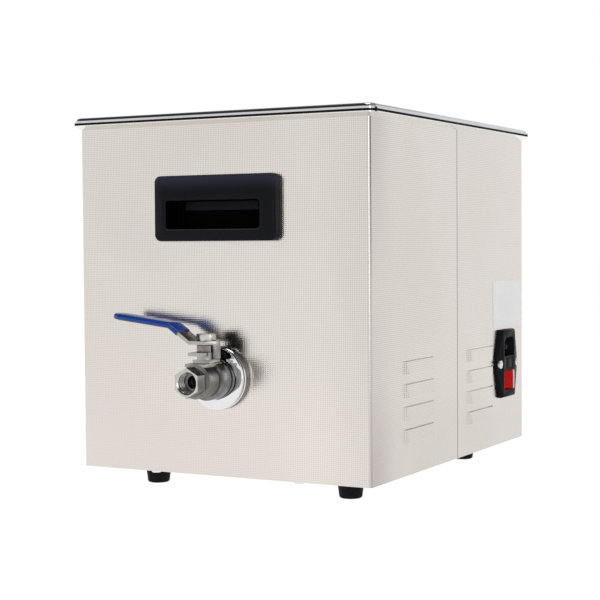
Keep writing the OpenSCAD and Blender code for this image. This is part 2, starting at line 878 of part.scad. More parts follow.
// Handle with its mounting face at z = 0 and its grip outwards
module handle() {
    color([0.05, 0.05, 0.06]) {
        difference() {
            union() {
                linear_extrude(handle_rim) rounded_rect(handle_l, handle_h, handle_r);
                hull() {
                    linear_extrude(handle_rim) rounded_rect(handle_l, handle_h, handle_r, $fn = 32);
                    translate([0, -pocket_drop, 0]) linear_extrude(handle_out)
                        rounded_rect(
                            pocket_l + handle_face_margin, pocket_h + handle_face_margin, handle_r, $fn = 32
                        );
                }
                translate([0, -pocket_drop, -tub_depth]) linear_extrude(tub_depth)
                    rounded_rect(
                        pocket_l + 2 * pocket_wall, pocket_h + 2 * pocket_wall, pocket_r + pocket_wall
                    );
            }
            translate([0, -pocket_drop, pocket_wall - tub_depth]) linear_extrude(tub_depth + handle_out)
                rounded_rect(pocket_l, pocket_h, pocket_r);
            for (x = [-1, 1]) {
                translate([x * handle_screw_x, 0, -cut]) cylinder(r = screw_hole_r, h = handle_screw_l + cut);
            }
        }
        translate([0, (pocket_h - grip_rib_h) / 2 - pocket_drop, pocket_wall - tub_depth])
            linear_extrude(grip_rib_t) square([grip_rib_l, grip_rib_h], center = true);
    }
}

module handle_right() on_right(handle_y, handle_z) handle();
module handle_left() mirror([1, 0, 0]) on_right(handle_y, handle_z) handle();

module handle_screws() {
    color("dimgray") at_handle_screws() translate([0, 0, -sheet - screw_head_h])
        pan_screw(sheet + handle_screw_l - screw_room);
}

// Drain inside the housing

module drain_spigot() {
    color("silver") translate([drain_x, valve_y, 0]) difference() {
        union() {
            translate([0, 0, tank_under - spigot_flange_t])
                cylinder(r = barb_r + spigot_flange_w, h = spigot_flange_t);
            translate([0, 0, tank_under - spigot_l]) cylinder(r = barb_r, h = spigot_l);
        }
        translate([0, 0, tank_under - spigot_l - cut])
            cylinder(r = nipple_bore_d / 2, h = spigot_l + 2 * cut);
    }
}

// Hose's path filled to radius r, its ends run past by extra
module hose_core(r, extra) {
    top = tank_under - spigot_flange_t - hose_end_gap;
    bend_z = valve_z + hose_bend_r;
    end_x = body_l / 2 - sheet - locknut_t - hose_end_gap;
    translate([drain_x, valve_y, bend_z]) cylinder(r = r, h = top - bend_z + extra);
    translate([drain_x + hose_bend_r, valve_y, bend_z]) rotate([90, 0, 0]) rotate([0, 0, 180])
        rotate_extrude(angle = 90) translate([hose_bend_r, 0]) circle(r);
    translate([drain_x + hose_bend_r, valve_y, valve_z]) rotate([0, 90, 0])
        cylinder(r = r, h = end_x - drain_x - hose_bend_r + extra);
}

module drain_hose() {
    color([0.8, 0.82, 0.8]) difference() {
        hose_core(hose_r, 0);
        hose_core(hose_bore_r, cut);
    }
}

// Band clamp round a hose along z, with its screw's housing on one side
module hose_clamp() {
    difference() {
        union() {
            cylinder(r = hose_r + seat_fit + clamp_t, h = clamp_w);
            translate([-clamp_box_l / 2, hose_r - clamp_t, 0]) cube([clamp_box_l, clamp_box_h, clamp_w]);
        }
        translate([0, 0, -cut]) cylinder(r = hose_r + seat_fit, h = clamp_w + 2 * cut);
    }
}

module hose_clamps() {
    color("lightgray") {
        translate([drain_x, valve_y, tank_under - spigot_flange_t - clamp_gap - clamp_w]) hose_clamp();
        at_valve() along_axis(-sheet - locknut_t - clamp_gap - clamp_w) hose_clamp();
    }
}

module drain_nipple() {
    color("silver") at_valve() difference() {
        union() {
            along_axis(-sheet - locknut_t) cylinder(r = nipple_r, h = sheet + locknut_t + nipple_end);
            along_axis(-barb_tip) cylinder(r = barb_r, h = barb_tip);
        }
        along_axis(-barb_tip - cut) cylinder(d = nipple_bore_d, h = barb_tip + nipple_end + 2 * cut);
    }
}

module drain_locknut() {
    color("goldenrod") at_valve() difference() {
        along_axis(-sheet - locknut_t) rotate(30) hex_prism(locknut_af, locknut_t);
        along_axis(-sheet - locknut_t - cut) cylinder(r = nipple_r + seat_fit, h = locknut_t + 2 * cut);
    }
}

// Drain valve

module drain_escutcheon() {
    disc_r = disc_d / 2;
    step = 0.7;
    edge = 0.4;
    rim_t = disc_t * 0.36;
    groove_s = disc_t * 0.44;
    groove_e = disc_t * 0.64;
    band_t = disc_t * 0.72;
    color([0.9, 0.9, 0.92]) at_valve() rotate([0, 90, 0]) rotate_extrude() polygon([
        [tail_r + free_fit, 0],
        [disc_r, 0],
        [disc_r, rim_t],
        [disc_r - step, groove_s],
        [disc_r - step, groove_e],
        [disc_r, band_t],
        [disc_r, disc_t - edge],
        [disc_r - edge, disc_t],
        [tail_r + free_fit, disc_t]
    ]);
}

module valve_end() {
    tail_s = 1;
    flange_gap = 0.4;
    flange_step = 0.6;
    bore_gap = 0.2;
    flange_s = disc_t + flange_gap;
    color([0.7, 0.7, 0.69]) at_valve() difference() {
        union() {
            along_axis(tail_s) cylinder(r = tail_r, h = flange_s);
            along_axis(flange_s) cylinder(r = barrel_r - flange_step, h = split - split_groove - flange_s);
            along_axis(flange_s) cylinder(r = joint_r, h = split + joint_l - flange_s);
        }
        along_axis(-cut) cylinder(r = nipple_r + seat_fit, h = nipple_end + cut + bore_gap);
        along_axis(0) cylinder(r = port_r, h = split + joint_l + cut);
        along_axis(stem_reach - seat_out) cylinder(r = seat_r + seat_fit, h = seat_out);
        along_axis(stem_reach) sphere(r = cavity_r);
    }
}

module valve_body() {
    flat_s = outlet_reach - outlet_flat_l;
    ridge_l = 1.6;
    ridge_step = 0.8;
    barrel_step = 2.5;
    shoulder_l = 10;
    mouth_step = 1.3;
    pad_in = 7.5;
    pad_out = 16;
    pad_w = 18;
    pad_t = 2.4;
    pad_lift = 0.1;
    block_w = 15;
    block_h = tab_bottom - tab_gap;
    color([0.7, 0.7, 0.69]) at_valve() difference() {
        union() {
            along_axis(split) cylinder(r = barrel_r - barrel_step, h = flat_s - ridge_l - split);
            along_axis(split) cylinder(r = barrel_r, h = shoulder_l);
            along_axis(flat_s - 2 * ridge_l) cylinder(r = outlet_corner_r + ridge_step, h = ridge_l * 1.5);
            along_axis(flat_s - ridge_l) hex_prism(outlet_af, outlet_flat_l + ridge_l);
            translate([stem_reach, 0, 0]) cylinder(d = neck_d, h = neck_h);
            translate([stem_reach - block_w / 2, -block_w / 2, 0]) cube([block_w, block_w, block_h]);
            translate([stem_reach - pad_in, -pad_w / 2, barrel_r - barrel_step + pad_lift - pad_t])
                cube([pad_in + pad_out, pad_w, pad_t]);
            translate([stem_reach - stop_w / 2, -stop_reach, neck_h - stop_t])
                cube([stop_w / 2 + stop_reach, stop_w / 2 + stop_reach, stop_t]);
        }
        along_axis(outlet_floor) rotate_extrude() polygon([
            [0, 0],
            [outlet_d / 2, 0],
            [outlet_d / 2, thread_l],
            [outlet_d / 2 + mouth_step, thread_l + mouth_l],
            [outlet_d / 2 + mouth_step, thread_l + mouth_l + cut],
            [0, thread_l + mouth_l + cut]
        ]);
        along_axis(stem_reach) cylinder(r = port_r, h = outlet_floor - stem_reach + cut);
        along_axis(stem_reach) cylinder(r = seat_r + seat_fit, h = seat_out);
        along_axis(split + joint_l)
            cylinder(r = cavity_r, h = stem_reach + seat_out - seat_l - split - joint_l);
        along_axis(split - cut) cylinder(r = joint_r + seat_fit, h = joint_l + seat_fit + cut);
        along_axis(stem_reach) sphere(r = cavity_r);
        translate([stem_reach, 0, 0]) cylinder(r = collar_r + free_fit, h = collar_top + free_fit);
        translate([stem_reach, 0, 0]) cylinder(r = stem_r + run_fit, h = neck_h + cut);
        translate([stem_reach, 0, packing_z]) cylinder(r = packing_r + seat_fit, h = neck_h);
    }
}

module valve_seats() {
    clear_r = ball_r + free_fit;
    near = seat_out - seat_l;
    color("ivory") at_stem() for (flip = [0, 1]) mirror([flip, 0, 0]) rotate([0, 90, 0])
        rotate_extrude() polygon([
            [port_r, sqrt(pow(clear_r, 2) - pow(port_r, 2))],
            [sqrt(pow(clear_r, 2) - pow(near, 2)), near],
            [seat_r, near],
            [seat_r, seat_out],
            [port_r, seat_out]
        ]);
}

module valve_ball() {
    color([0.85, 0.85, 0.86]) at_stem() difference() {
        sphere(r = ball_r);
        rotate([90, 0, 0]) cylinder(r = port_r, h = ball_d + 2 * cut, center = true);
        translate([0, 0, ball_r]) cube([tang_w, ball_d, 2 * tang_h], center = true);
    }
}

module valve_stem() {
    tang_foot = tang_floor + free_fit;
    color([0.72, 0.72, 0.72]) at_stem() {
        intersection() {
            translate([seat_fit - tang_w / 2, -stem_r, tang_foot])
                cube([tang_w - 2 * seat_fit, stem_d, stem_foot - tang_foot]);
            cylinder(r = stem_r, h = stem_top);
        }
        translate([0, 0, stem_foot]) cylinder(r = collar_r, h = collar_top - stem_foot);
        translate([0, 0, stem_foot]) cylinder(r = stem_r, h = stem_top - stem_foot);
    }
}

module stem_packing() {
    color("white") at_stem() translate([0, 0, packing_z]) difference() {
        cylinder(r = packing_r, h = follower_z - packing_z);
        translate([0, 0, -cut]) cylinder(r = stem_r + run_fit, h = follower_z - packing_z + 2 * cut);
    }
}

module gland_nut() {
    color([0.72, 0.72, 0.72]) at_stem() difference() {
        union() {
            translate([0, 0, follower_z]) cylinder(r = packing_r, h = neck_h - follower_z);
            translate([0, 0, neck_h]) hex_prism(gland_af, gland_h);
        }
        translate([0, 0, follower_z - cut]) cylinder(r = stem_r + free_fit, h = neck_h + gland_h);
    }
}

// Lever's strip between two offsets of a path, w wide, its grip end rounded in plan
module lever_strip(path, d0, d1, w) {
    tip = path[len(path) - 1].x;
    intersection() {
        translate([w / 2, 0, 0]) rotate([90, 0, -90]) linear_extrude(w) polygon(strip(path, d0, d1));
        linear_extrude(4 * lever_l) {
            translate([-w / 2, w / 2 - tip]) square([w, tip + lever_l]);
            translate([0, w / 2 - tip]) circle(w / 2);
        }
    }
}

module valve_lever() {
    color([0.74, 0.74, 0.73]) at_stem() difference() {
        union() {
            lever_strip(lever_path, 0, lever_t, lever_w);
            translate([-tab_w / 2, tab_reach - lever_t, tab_bottom])
                cube([tab_w, lever_t, lever_z + lever_t - tab_bottom]);
        }
        translate([0, 0, lever_z - cut]) cylinder(r = stem_r + seat_fit, h = lever_t + 2 * cut);
        for (side = [0, 1]) mirror([side, 0, 0]) translate([0, 0, lever_z - cut])
            linear_extrude(lever_t + 2 * cut) polygon([
                [tab_w / 2, tab_reach],
                [lever_w / 2, tab_taper],
                [lever_w / 2 + cut, tab_taper],
                [lever_w / 2 + cut, tab_reach + cut],
                [tab_w / 2, tab_reach + cut]
            ]);
    }
}

module lever_sleeve() {
    color([0.08, 0.22, 0.62]) at_stem() difference() {
        lever_strip(sleeve_path, -sleeve_wall, lever_t + sleeve_wall, lever_w + 2 * sleeve_wall);
        lever_strip(lever_path, 0, lever_t, lever_w);
    }
}

module lever_nut() {
    color([0.78, 0.78, 0.78]) at_stem() difference() {
        translate([0, 0, lever_nut_z]) hex_prism(lever_nut_af, lever_nut_h);
        translate([0, 0, lever_nut_z - cut]) cylinder(r = stem_r + seat_fit, h = lever_nut_h + 2 * cut);
    }
}

// Mains inlet

module at_ear_screws() {
    for (x = [-1, 1]) on_back(inlet_x, inlet_z) translate([x * inlet_screw_pitch / 2, 0, 0]) children();
}

module ear_outline() {
    end = inlet_end_w / 2;
    ear = inlet_ear_w / 2;
    waist = 6;
    polygon([
        [-end, -inlet_h / 2], [end, -inlet_h / 2], [ear, -waist], [ear, waist],
        [end, inlet_h / 2], [-end, inlet_h / 2], [-ear, waist], [-ear, -waist]
    ]);
}

// Socket's outline, with two corners cut off
module socket_outline() {
    x = socket_w / 2;
    y = socket_h / 2;
    bevel = 4;
    polygon([[-x, -y], [x, -y], [x, y - bevel], [x - bevel, y], [bevel - x, y], [-x, y - bevel]]);
}

module at_pins() {
    for (i = [-1 : 1]) {
        translate([i * pin_pitch, inlet_pair + (i == 0 ? pin_rise : 0) - pin_drop, 0]) children();
    }
}

module inlet_housing() {
    slot_w = rocker_w + 2 * free_fit;
    slot_h = rocker_h + 2 * free_fit;
    color([0.1, 0.1, 0.11]) on_back(inlet_x, inlet_z) difference() {
        union() {
            linear_extrude(inlet_ear_t) ear_outline();
            hull() {
                linear_extrude(inlet_ear_t) ear_outline();
                linear_extrude(inlet_out) square([inlet_end_w - 2, inlet_h - 2], center = true);
            }
            translate([0, 0, -inlet_depth]) linear_extrude(inlet_depth)
                square([inlet_body_w, inlet_body_h], center = true);
        }
        translate([0, inlet_pair, socket_floor]) linear_extrude(socket_depth + cut) socket_outline();
        at_pins() translate([0, 0, -inlet_depth - cut]) linear_extrude(inlet_depth + 2 * cut)
            square([pin_t, pin_w], center = true);
        translate([0, -inlet_pair, rocker_axis - rocker_r - 1]) linear_extrude(2 * rocker_r + inlet_out)
            square([slot_w, slot_h], center = true);
        translate([0, -inlet_pair, rocker_axis]) rotate([90, 0, 0])
            cylinder(r = rocker_pin_r + run_fit, h = rocker_h + 2 * (rocker_pin_l + free_fit), center = true);
        translate([0, 0, drawer_back - free_fit]) linear_extrude(inlet_out - drawer_back + cut)
            square([drawer_w + 2 * free_fit, drawer_h + 2 * free_fit], center = true);
        for (x = [-1, 1]) translate([x * inlet_screw_pitch / 2, 0, 0]) {
            translate([0, 0, ear_screw_z]) cylinder(r = screw_head_r + free_fit, h = inlet_out);
            translate([0, 0, -cut]) cylinder(r = screw_hole_r, h = inlet_out);
        }
    }
}

module inlet_pins() {
    color("silver") on_back(inlet_x, inlet_z) at_pins() translate([0, 0, terminal_end])
        linear_extrude(pin_end - terminal_end) square([pin_t, pin_w], center = true);
}

module inlet_screws() {
    color("whitesmoke") at_ear_screws() translate([0, 0, ear_screw_z + screw_head_h]) mirror([0, 0, 1])
        pan_screw(ear_screw_z + sheet + screw_past);
}

module rocker() {
    color([0.75, 0.05, 0.03]) translate([inlet_x, body_w / 2 + rocker_axis, inlet_z - inlet_pair])
        rotate([0, 0, -rocker_tilt]) {
            translate([0, 0, -rocker_h / 2]) linear_extrude(rocker_h) intersection() {
                circle(rocker_r);
                polygon([
                    [-rocker_w, -rocker_r / 2],
                    [rocker_w, -rocker_r / 2],
                    [rocker_w, rocker_middle + rocker_w * tan(rocker_tilt)],
                    [0, rocker_middle],
                    [-rocker_w, rocker_middle + rocker_w * tan(rocker_tilt)]
                ]);
            }
            cylinder(r = rocker_pin_r, h = rocker_h + 2 * rocker_pin_l, center = true);
        }
}

module fuse_drawer() {
    color([0.1, 0.1, 0.11]) on_back(inlet_x, inlet_z) difference() {
        translate([0, 0, drawer_back]) linear_extrude(inlet_out - drawer_back)
            square([drawer_w, drawer_h], center = true);
        translate([0, 0, drawer_back + drawer_end])
            cylinder(d = fuse_d + 2 * seat_fit, h = fuse_l + 2 * seat_fit);
        translate([-fuse_d / 2 - seat_fit, 0, drawer_back + drawer_end])
            cube([fuse_d + 2 * seat_fit, drawer_h, fuse_l + 2 * seat_fit]);
    }
}

module fuse() {
    color("lightblue") on_back(inlet_x, inlet_z) translate([0, 0, drawer_back + drawer_end + seat_fit])
        cylinder(d = fuse_d, h = fuse_l);
}

module rating_label() {
    color("white") on_back(label_x, label_z) linear_extrude(label_t)
        square([label_w, label_h], center = true);
}

// Control panel

module at_buttons(first, last) {
    for (i = [first : last]) {
        translate([(i - (button_count - 1) / 2) * button_pitch, button_row, 0]) children();
    }
}

module at_windows() {
    for (x = [-1, 1]) translate([x * panel_l / 4, window_row, 0]) children();
}

module control_panel() {
    color([0.12, 0.13, 0.15]) on_front(0, panel_z) difference() {
        linear_extrude(panel_t) rounded_rect(panel_l, panel_h, panel_r);
        at_buttons(0, button_count - 1) translate([0, 0, -cut])
            cylinder(r = button_r + free_fit, h = panel_t + 2 * cut);
        at_windows() translate([0, 0, window_z]) linear_extrude(panel_t)
            square([window_w + 2 * seat_fit, window_h + 2 * seat_fit], center = true);
        at_windows() translate([0, 0, -cut]) linear_extrude(panel_t + 2 * cut)
            square([window_w - 2 * window_ledge, window_h - 2 * window_ledge], center = true);
    }
}

module display_windows() {
    color([0.03, 0.03, 0.04]) on_front(0, panel_z) at_windows()
        translate([0, 0, window_z]) linear_extrude(window_t)
            square([window_w, window_h], center = true);
}

module button(i) {
    color([0.75, 0.77, 0.8]) on_front(0, panel_z) at_buttons(i, i) {
        translate([0, 0, button_flange_back]) cylinder(r = button_flange_r, h = button_flange_t);
        translate([0, 0, button_flange_back])
            cylinder(r = button_r, h = panel_t + button_out - button_flange_back);
    }
}

module button_1() button(0);
module button_2() button(1);
module button_3() button(2);
module button_4() button(3);
module button_5() button(4);
module button_6() button(5);

module tact_switches() {
    color([0.2, 0.2, 0.2]) on_front(0, panel_z) at_buttons(0, button_count - 1) {
        translate([-switch_w / 2, -switch_w / 2, control_board_z]) cube([switch_w, switch_w, switch_case_h]);
        translate([0, 0, control_board_z]) cylinder(d = switch_pin_d, h = switch_h);
    }
}

module control_board() {
    color("darkgreen") on_front(0, panel_z) translate([0, 0, control_board_z - board_t])
        linear_extrude(board_t)
            square([panel_cut_l - 2 * control_board_gap, panel_cut_h - 2 * control_board_gap], center = true);
}

module control_standoffs() {
    color("gold") on_front(0, panel_z) for (x = [-1, 1], y = [-1, 1]) {
        translate([x * control_post_x, y * control_post_y, control_board_z])
            cylinder(d = post_d, h = -control_board_z);
    }
}

// Ultrasonic drive

module transducer_horns() {
    color([0.8, 0.81, 0.82]) at_transducers() difference() {
        translate([0, 0, horn_z]) cylinder(r1 = horn_tip_r, r2 = horn_d / 2, h = horn_h);
        translate([0, 0, horn_z - cut]) cylinder(r = bolt_hole_r, h = bolt_depth + cut);
    }
}

module piezo_rings() {
    color([0.35, 0.33, 0.3]) at_transducers() for (i = [0, 1]) difference() {
        translate([0, 0, piezo_z + i * (piezo_t + piezo_gap)]) cylinder(d = piezo_d, h = piezo_t);
        translate([0, 0, piezo_z - cut]) cylinder(r = piezo_bore_r, h = horn_z - piezo_z + 2 * cut);
    }
}

module transducer_tails() {
    color("gray") at_transducers() difference() {
        translate([0, 0, tail_z]) cylinder(d = piezo_d, h = tail_h);
        translate([0, 0, tail_z - cut]) cylinder(r = bolt_hole_r, h = tail_h + 2 * cut);
    }
}

module transducer_bolts() {
    color("dimgray") at_transducers() {
        translate([0, 0, tail_z - bolt_head_h]) cylinder(r = bolt_head_r, h = bolt_head_h);
        translate([0, 0, tail_z]) cylinder(r = bolt_r, h = horn_z - tail_z + bolt_depth - bolt_end_gap);
    }
}

module heater_pads() {
    heater_z = tank_floor + floor_r + heater_lift;
    color("orangered") for (flip = [0, 1]) mirror([0, flip, 0])
        translate([-heater_l / 2, tank_w / 2 + tank_t, heater_z]) cube([heater_l, heater_t, heater_h]);
}

module thermostat() {
    color("white") {
        translate([0, 0, tank_under - thermostat_cap_h]) cylinder(d = thermostat_d, h = thermostat_cap_h);
        translate([0, 0, tank_under - thermostat_base.z]) cube(thermostat_base, center = true);
    }
}

module at_board_posts() {
    for (x = [-1, 1], y = [-1, 1]) {
        translate([board_x + x * (board_l / 2 - board_margin), board_y + y * (board_w / 2 - board_margin), 0])
            children();
    }
}

module generator_board() {
    color("darkgreen") translate([board_x, board_y, board_z + board_t / 2])
        cube([board_l, board_w, board_t], center = true);
}

module board_standoffs() {
    color("gold") at_board_posts() translate([0, 0, plate_top]) cylinder(d = post_d, h = post_h);
}

module heat_sink() {
    step = (sink_l - fin_t) / (sink_fins - 1);
    sink_y = board_y - board_w / 2 + board_margin + post_d;
    color("silver") translate([board_x - sink_l / 2, sink_y, board_top]) {
        cube([sink_l, sink_w, sink_base]);
        for (i = [0 : sink_fins - 1]) translate([i * step, 0, 0]) cube([fin_t, sink_w, sink_h]);
    }
}

module transformer() {
    color("saddlebrown")
        translate([board_x + board_l / 4, board_y + board_w / 2 - board_margin - core_w, board_top]) {
            translate([-core_l / 2, 0, 0]) cube([core_l, core_w / 2, core_h]);
            translate([0, 0, core_h / 2]) rotate([-90, 0, 0]) cylinder(r = coil_r, h = core_w);
        }
}

module mains_leads() {
    start_y = body_w / 2 + terminal_end;
    drop_y = start_y - wire_d / 2 - lead_bend;
    end_y = board_y + board_w / 2 - lead_lift;
    run_z = board_top + lead_lift;
    color("black") for (i = [-1 : 1]) {
        x = inlet_x - i * pin_pitch;
        z = inlet_z + inlet_pair + (i == 0 ? pin_rise : 0) - pin_drop;
        wire([[x, start_y, z], [x, drop_y, z], [x, drop_y, run_z], [x, end_y, run_z], [x, end_y, board_top]]);
    }
}

housing_wrap();
seam_strip();
top_frame();
rim_seal();
tank();
base_plate();
base_screws();
foot_front_left();
foot_front_right();
foot_back_left();
foot_back_right();
foot_screws();
handle_left();
handle_right();
handle_screws();
drain_spigot();
drain_hose();
hose_clamps();
drain_nipple();
drain_locknut();
drain_escutcheon();
valve_end();
valve_body();
valve_seats();
valve_ball();
valve_stem();
stem_packing();
gland_nut();
valve_lever();
lever_sleeve();
lever_nut();
inlet_housing();
inlet_pins();
inlet_screws();
rocker();
fuse_drawer();
fuse();
rating_label();
control_panel();
display_windows();
button_1();
button_2();
button_3();
button_4();
button_5();
button_6();
tact_switches();
control_board();
control_standoffs();
transducer_horns();
piezo_rings();
transducer_tails();
transducer_bolts();
heater_pads();
thermostat();
generator_board();
board_standoffs();
heat_sink();
transformer();
mains_leads();
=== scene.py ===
"""Finishes and fine pieces of a bench-top ultrasonic cleaner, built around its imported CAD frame."""

import json
import math

import bmesh
import bpy
from bpy.props import FloatProperty, FloatVectorProperty, IntProperty, PointerProperty
from mathutils import Matrix, Vector


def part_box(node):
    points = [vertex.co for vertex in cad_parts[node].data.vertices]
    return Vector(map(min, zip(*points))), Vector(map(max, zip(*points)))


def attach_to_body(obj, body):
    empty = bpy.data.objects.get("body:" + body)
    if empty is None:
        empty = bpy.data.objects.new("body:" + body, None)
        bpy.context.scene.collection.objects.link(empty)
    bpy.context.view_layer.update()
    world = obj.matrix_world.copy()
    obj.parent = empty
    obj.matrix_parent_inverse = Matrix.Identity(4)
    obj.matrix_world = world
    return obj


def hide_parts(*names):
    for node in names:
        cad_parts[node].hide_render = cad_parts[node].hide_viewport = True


bl_info = {
    "name": "Ultrasonic Cleaner",
    "version": (1, 0, 0),
    "blender": (4, 5, 0),
    "location": "View3D > Sidebar > Cleaner",
    "description": "Finishes and fine pieces of a bench-top ultrasonic cleaner",
    "category": "Object",
}

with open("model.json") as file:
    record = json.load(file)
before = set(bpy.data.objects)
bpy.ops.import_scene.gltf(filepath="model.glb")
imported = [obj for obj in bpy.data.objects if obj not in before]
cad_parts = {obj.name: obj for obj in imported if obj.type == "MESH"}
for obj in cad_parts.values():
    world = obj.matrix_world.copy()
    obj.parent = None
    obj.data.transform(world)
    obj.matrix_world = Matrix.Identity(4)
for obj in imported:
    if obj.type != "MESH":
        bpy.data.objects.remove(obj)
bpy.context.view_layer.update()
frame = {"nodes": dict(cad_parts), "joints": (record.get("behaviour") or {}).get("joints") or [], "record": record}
MM = 0.001
ROOT_BODY = "cleaner"
LEVER_BODY = "drain_lever"


def colour(name, description, default):
    """Colour property in linear red, green and blue."""
    return FloatVectorProperty(
        name=name, description=description, subtype="COLOR", size=3, min=0, max=1, default=default
    )


def length(name, description, default):
    """Length property in metres."""
    return FloatProperty(
        name=name, description=description, unit="LENGTH", min=0, precision=5, default=default
    )


class CleanerFinishes(bpy.types.PropertyGroup):
    """Colours of the cleaner's finishes."""

    housing: colour("Housing", "Embossed sheet of the housing", (0.78, 0.733, 0.688))
    frame: colour("Frame", "Plain satin steel of the frame under the rim", (0.86, 0.85, 0.82))
    rim: colour("Rim", "Polished steel of the tank and its rim", (0.60, 0.61, 0.62))
    valve: colour("Valve", "Cast steel of the drain valve", (0.275, 0.27, 0.264))
    lever: colour("Lever", "Pressed steel of the lever", (0.45, 0.435, 0.41))
    sleeve: colour("Sleeve", "Soft sleeve of the lever", (0.008, 0.07, 0.40))
    handle: colour("Handle", "Moulded handles", (0.006, 0.0065, 0.0105))
    inlet: colour("Inlet", "Moulded mains inlet", (0.012, 0.0125, 0.015))
    rocker: colour("Rocker", "Power switch", (0.70, 0.004, 0.002))
    label: colour("Label", "Blank label", (0.97, 0.97, 0.965))
    panel: colour("Panel", "Control panel", (0.022, 0.026, 0.036))


class CleanerSizes(bpy.types.PropertyGroup):
    """Sizes of the fine details."""

    emboss_pitch: length("Emboss pitch", "Distance between the dots pressed into the sheet", 0.0015)
    handle_round: length("Handle rounding", "Radius of a handle's outer edge", 0.003)
    pocket_round: length("Pocket rounding", "Radius of a finger pocket's edge", 0.0009)
    metal_edge: length("Metal edge", "Rounding of the valve's edges", 0.00035)
    plastic_edge: length("Plastic edge", "Rounding of moulded edges", 0.0005)
    thread_pitch: length("Thread pitch", "Pitch of the outlet's thread", 0.00134)
    thread_depth: length("Thread depth", "Height of the outlet's thread", 0.0008)
    recess_depth: length("Screw recess", "Depth of the cross in a screw's head", 0.0009)
    digit_height: length("Digit height", "Height of a display digit", 0.012)
    digits: IntProperty(name="Digits", description="Digits in each display", default=3, min=1, max=4)


class CleanerStage(bpy.types.PropertyGroup):
    """Light and camera."""

    top_power: FloatProperty(
        name="Top light", description="Power of the light overhead", unit="POWER", default=8
    )
    front_power: FloatProperty(
        name="Front light", description="Power of the upright light in front", unit="POWER", default=4
    )
    lens: FloatProperty(
        name="Lens", description="Focal length", subtype="DISTANCE_CAMERA", default=88.758
    )


# Shader helpers


def plug(tree, socket, value):
    """Link a socket to another one, or set its value."""
    if isinstance(value, bpy.types.NodeSocket):
        tree.links.new(value, socket)
    else:
        socket.default_value = value


def add_node(tree, kind, inputs=None, **settings):
    """Outputs of a new node with its settings, its inputs set or linked by name or index."""
    made = tree.nodes.new(kind)
    for key, value in settings.items():
        setattr(made, key, value)
    for key, value in (inputs or {}).items():
        plug(tree, made.inputs[key], value)
    return made.outputs


def fill(tree, shader, **sockets):
    """Set or link a shader's inputs, with underscores for the spaces in their names."""
    for label, value in sockets.items():
        plug(tree, shader.inputs[label.replace("_", " ")], value)


def calc(tree, operation, *values):
    """Output of a Math node on the given values or sockets."""
    return add_node(tree, "ShaderNodeMath", dict(enumerate(values)), operation=operation)[0]


def axes(tree, place):
    """Outputs X, Y and Z of a position."""
    return add_node(tree, "ShaderNodeSeparateXYZ", {0: place})


def mix_colour(tree, factor, first, second, blend="MIX"):
    """Output of a colour Mix node."""
    inputs = {0: factor, 6: first, 7: second}
    return add_node(tree, "ShaderNodeMix", inputs, data_type="RGBA", blend_type=blend)[2]


def rescale(tree, value, low, high):
    """Value from 0 to 1 carried to the range low to high."""
    inputs = {"Value": value, "To Min": low, "To Max": high}
    return add_node(tree, "ShaderNodeMapRange", inputs)["Result"]


def ramp(tree, value, span, ends=(0.0, 1.0)):
    """Smooth step of a value over a span, between two ends."""
    labels = ("From Min", "From Max", "To Min", "To Max")
    inputs = {"Value": value, **dict(zip(labels, (*span, *ends)))}
    return add_node(tree, "ShaderNodeMapRange", inputs, interpolation_type="SMOOTHSTEP")["Result"]


def noise(tree, place, scale, detail, roughness=0.5):
    """Output of a noise texture."""
    inputs = {"Vector": place, "Scale": scale, "Detail": detail, "Roughness": roughness}
    return add_node(tree, "ShaderNodeTexNoise", inputs)[0]


def bumps(tree, height, strength, distance):
    """Normals bent by a height."""
    inputs = {"Height": height, "Strength": strength, "Distance": distance}
    return add_node(tree, "ShaderNodeBump", inputs)[0]


def shader_group(name, outputs, **inputs):
    """New node group over a position, and the sockets of its input and output nodes."""
    tree = bpy.data.node_groups.new(name, "ShaderNodeTree")
    tree.interface.new_socket("Position", in_out="INPUT", socket_type="NodeSocketVector")
    for label, default in inputs.items():
        kind = "NodeSocketVector" if isinstance(default, tuple) else "NodeSocketFloat"
        tree.interface.new_socket(label, in_out="INPUT", socket_type=kind).default_value = default
    for label in outputs:
        tree.interface.new_socket(label, in_out="OUTPUT", socket_type="NodeSocketFloat")
    return tree, add_node(tree, "NodeGroupInput"), tree.nodes.new("NodeGroupOutput").inputs


def make_emboss():
    """Square grid of pressed dots that runs round the upright walls."""
    dot_edge = (0.25, 0.8)
    tree, given, result = shader_group("Pressed Dots", ["Height", "Pit"], Pitch=0.0015)
    x, y, z = axes(tree, given["Position"])
    waves = []
    for place in (calc(tree, "ADD", x, y), z):
        turn = calc(tree, "DIVIDE", calc(tree, "MULTIPLY", place, math.pi), given["Pitch"])
        waves.append(calc(tree, "POWER", calc(tree, "COSINE", turn), 2))
    dot = calc(tree, "MULTIPLY", *waves)
    tree.links.new(calc(tree, "SUBTRACT", 1, dot), result["Height"])
    tree.links.new(ramp(tree, dot, dot_edge), result["Pit"])
    return tree


# The sheet's painted shading, slow changes of light and shade painted into its colour: spans in metres with the
# shares at their ends, and factors with their offsets
BACK_FROM = (0.1262, 0.128)
BACK_BEND = (0.112, 0.158)
BACK_MIDDLE = 0.16
BACK_BEND_LOSS = (1.08, 0.05)
BACK_LOW_LOSS = ((0.03, 0.10), (0.15, 0.06))
SIDE_UP = ((0.02, 0.29), (1.035, 0.985))
SIDE_ALONG = ((-0.10, 0.10), (0.955, 0.99))
SIDE_BEND = ((0.08, 0.126), (1.0, 0.94))
FOLD_SHADE = ((0.2866, 0.2872), (1.0, 0.84))
RELIEF_UP = (1.6, 0.35)
RELIEF_AROUND = 2.5
RELIEF_MOST = 1.3
RELIEF_LEAST = 0.5
RELIEF_LOW = ((0.03, 0.13), (0.55, 1.0))


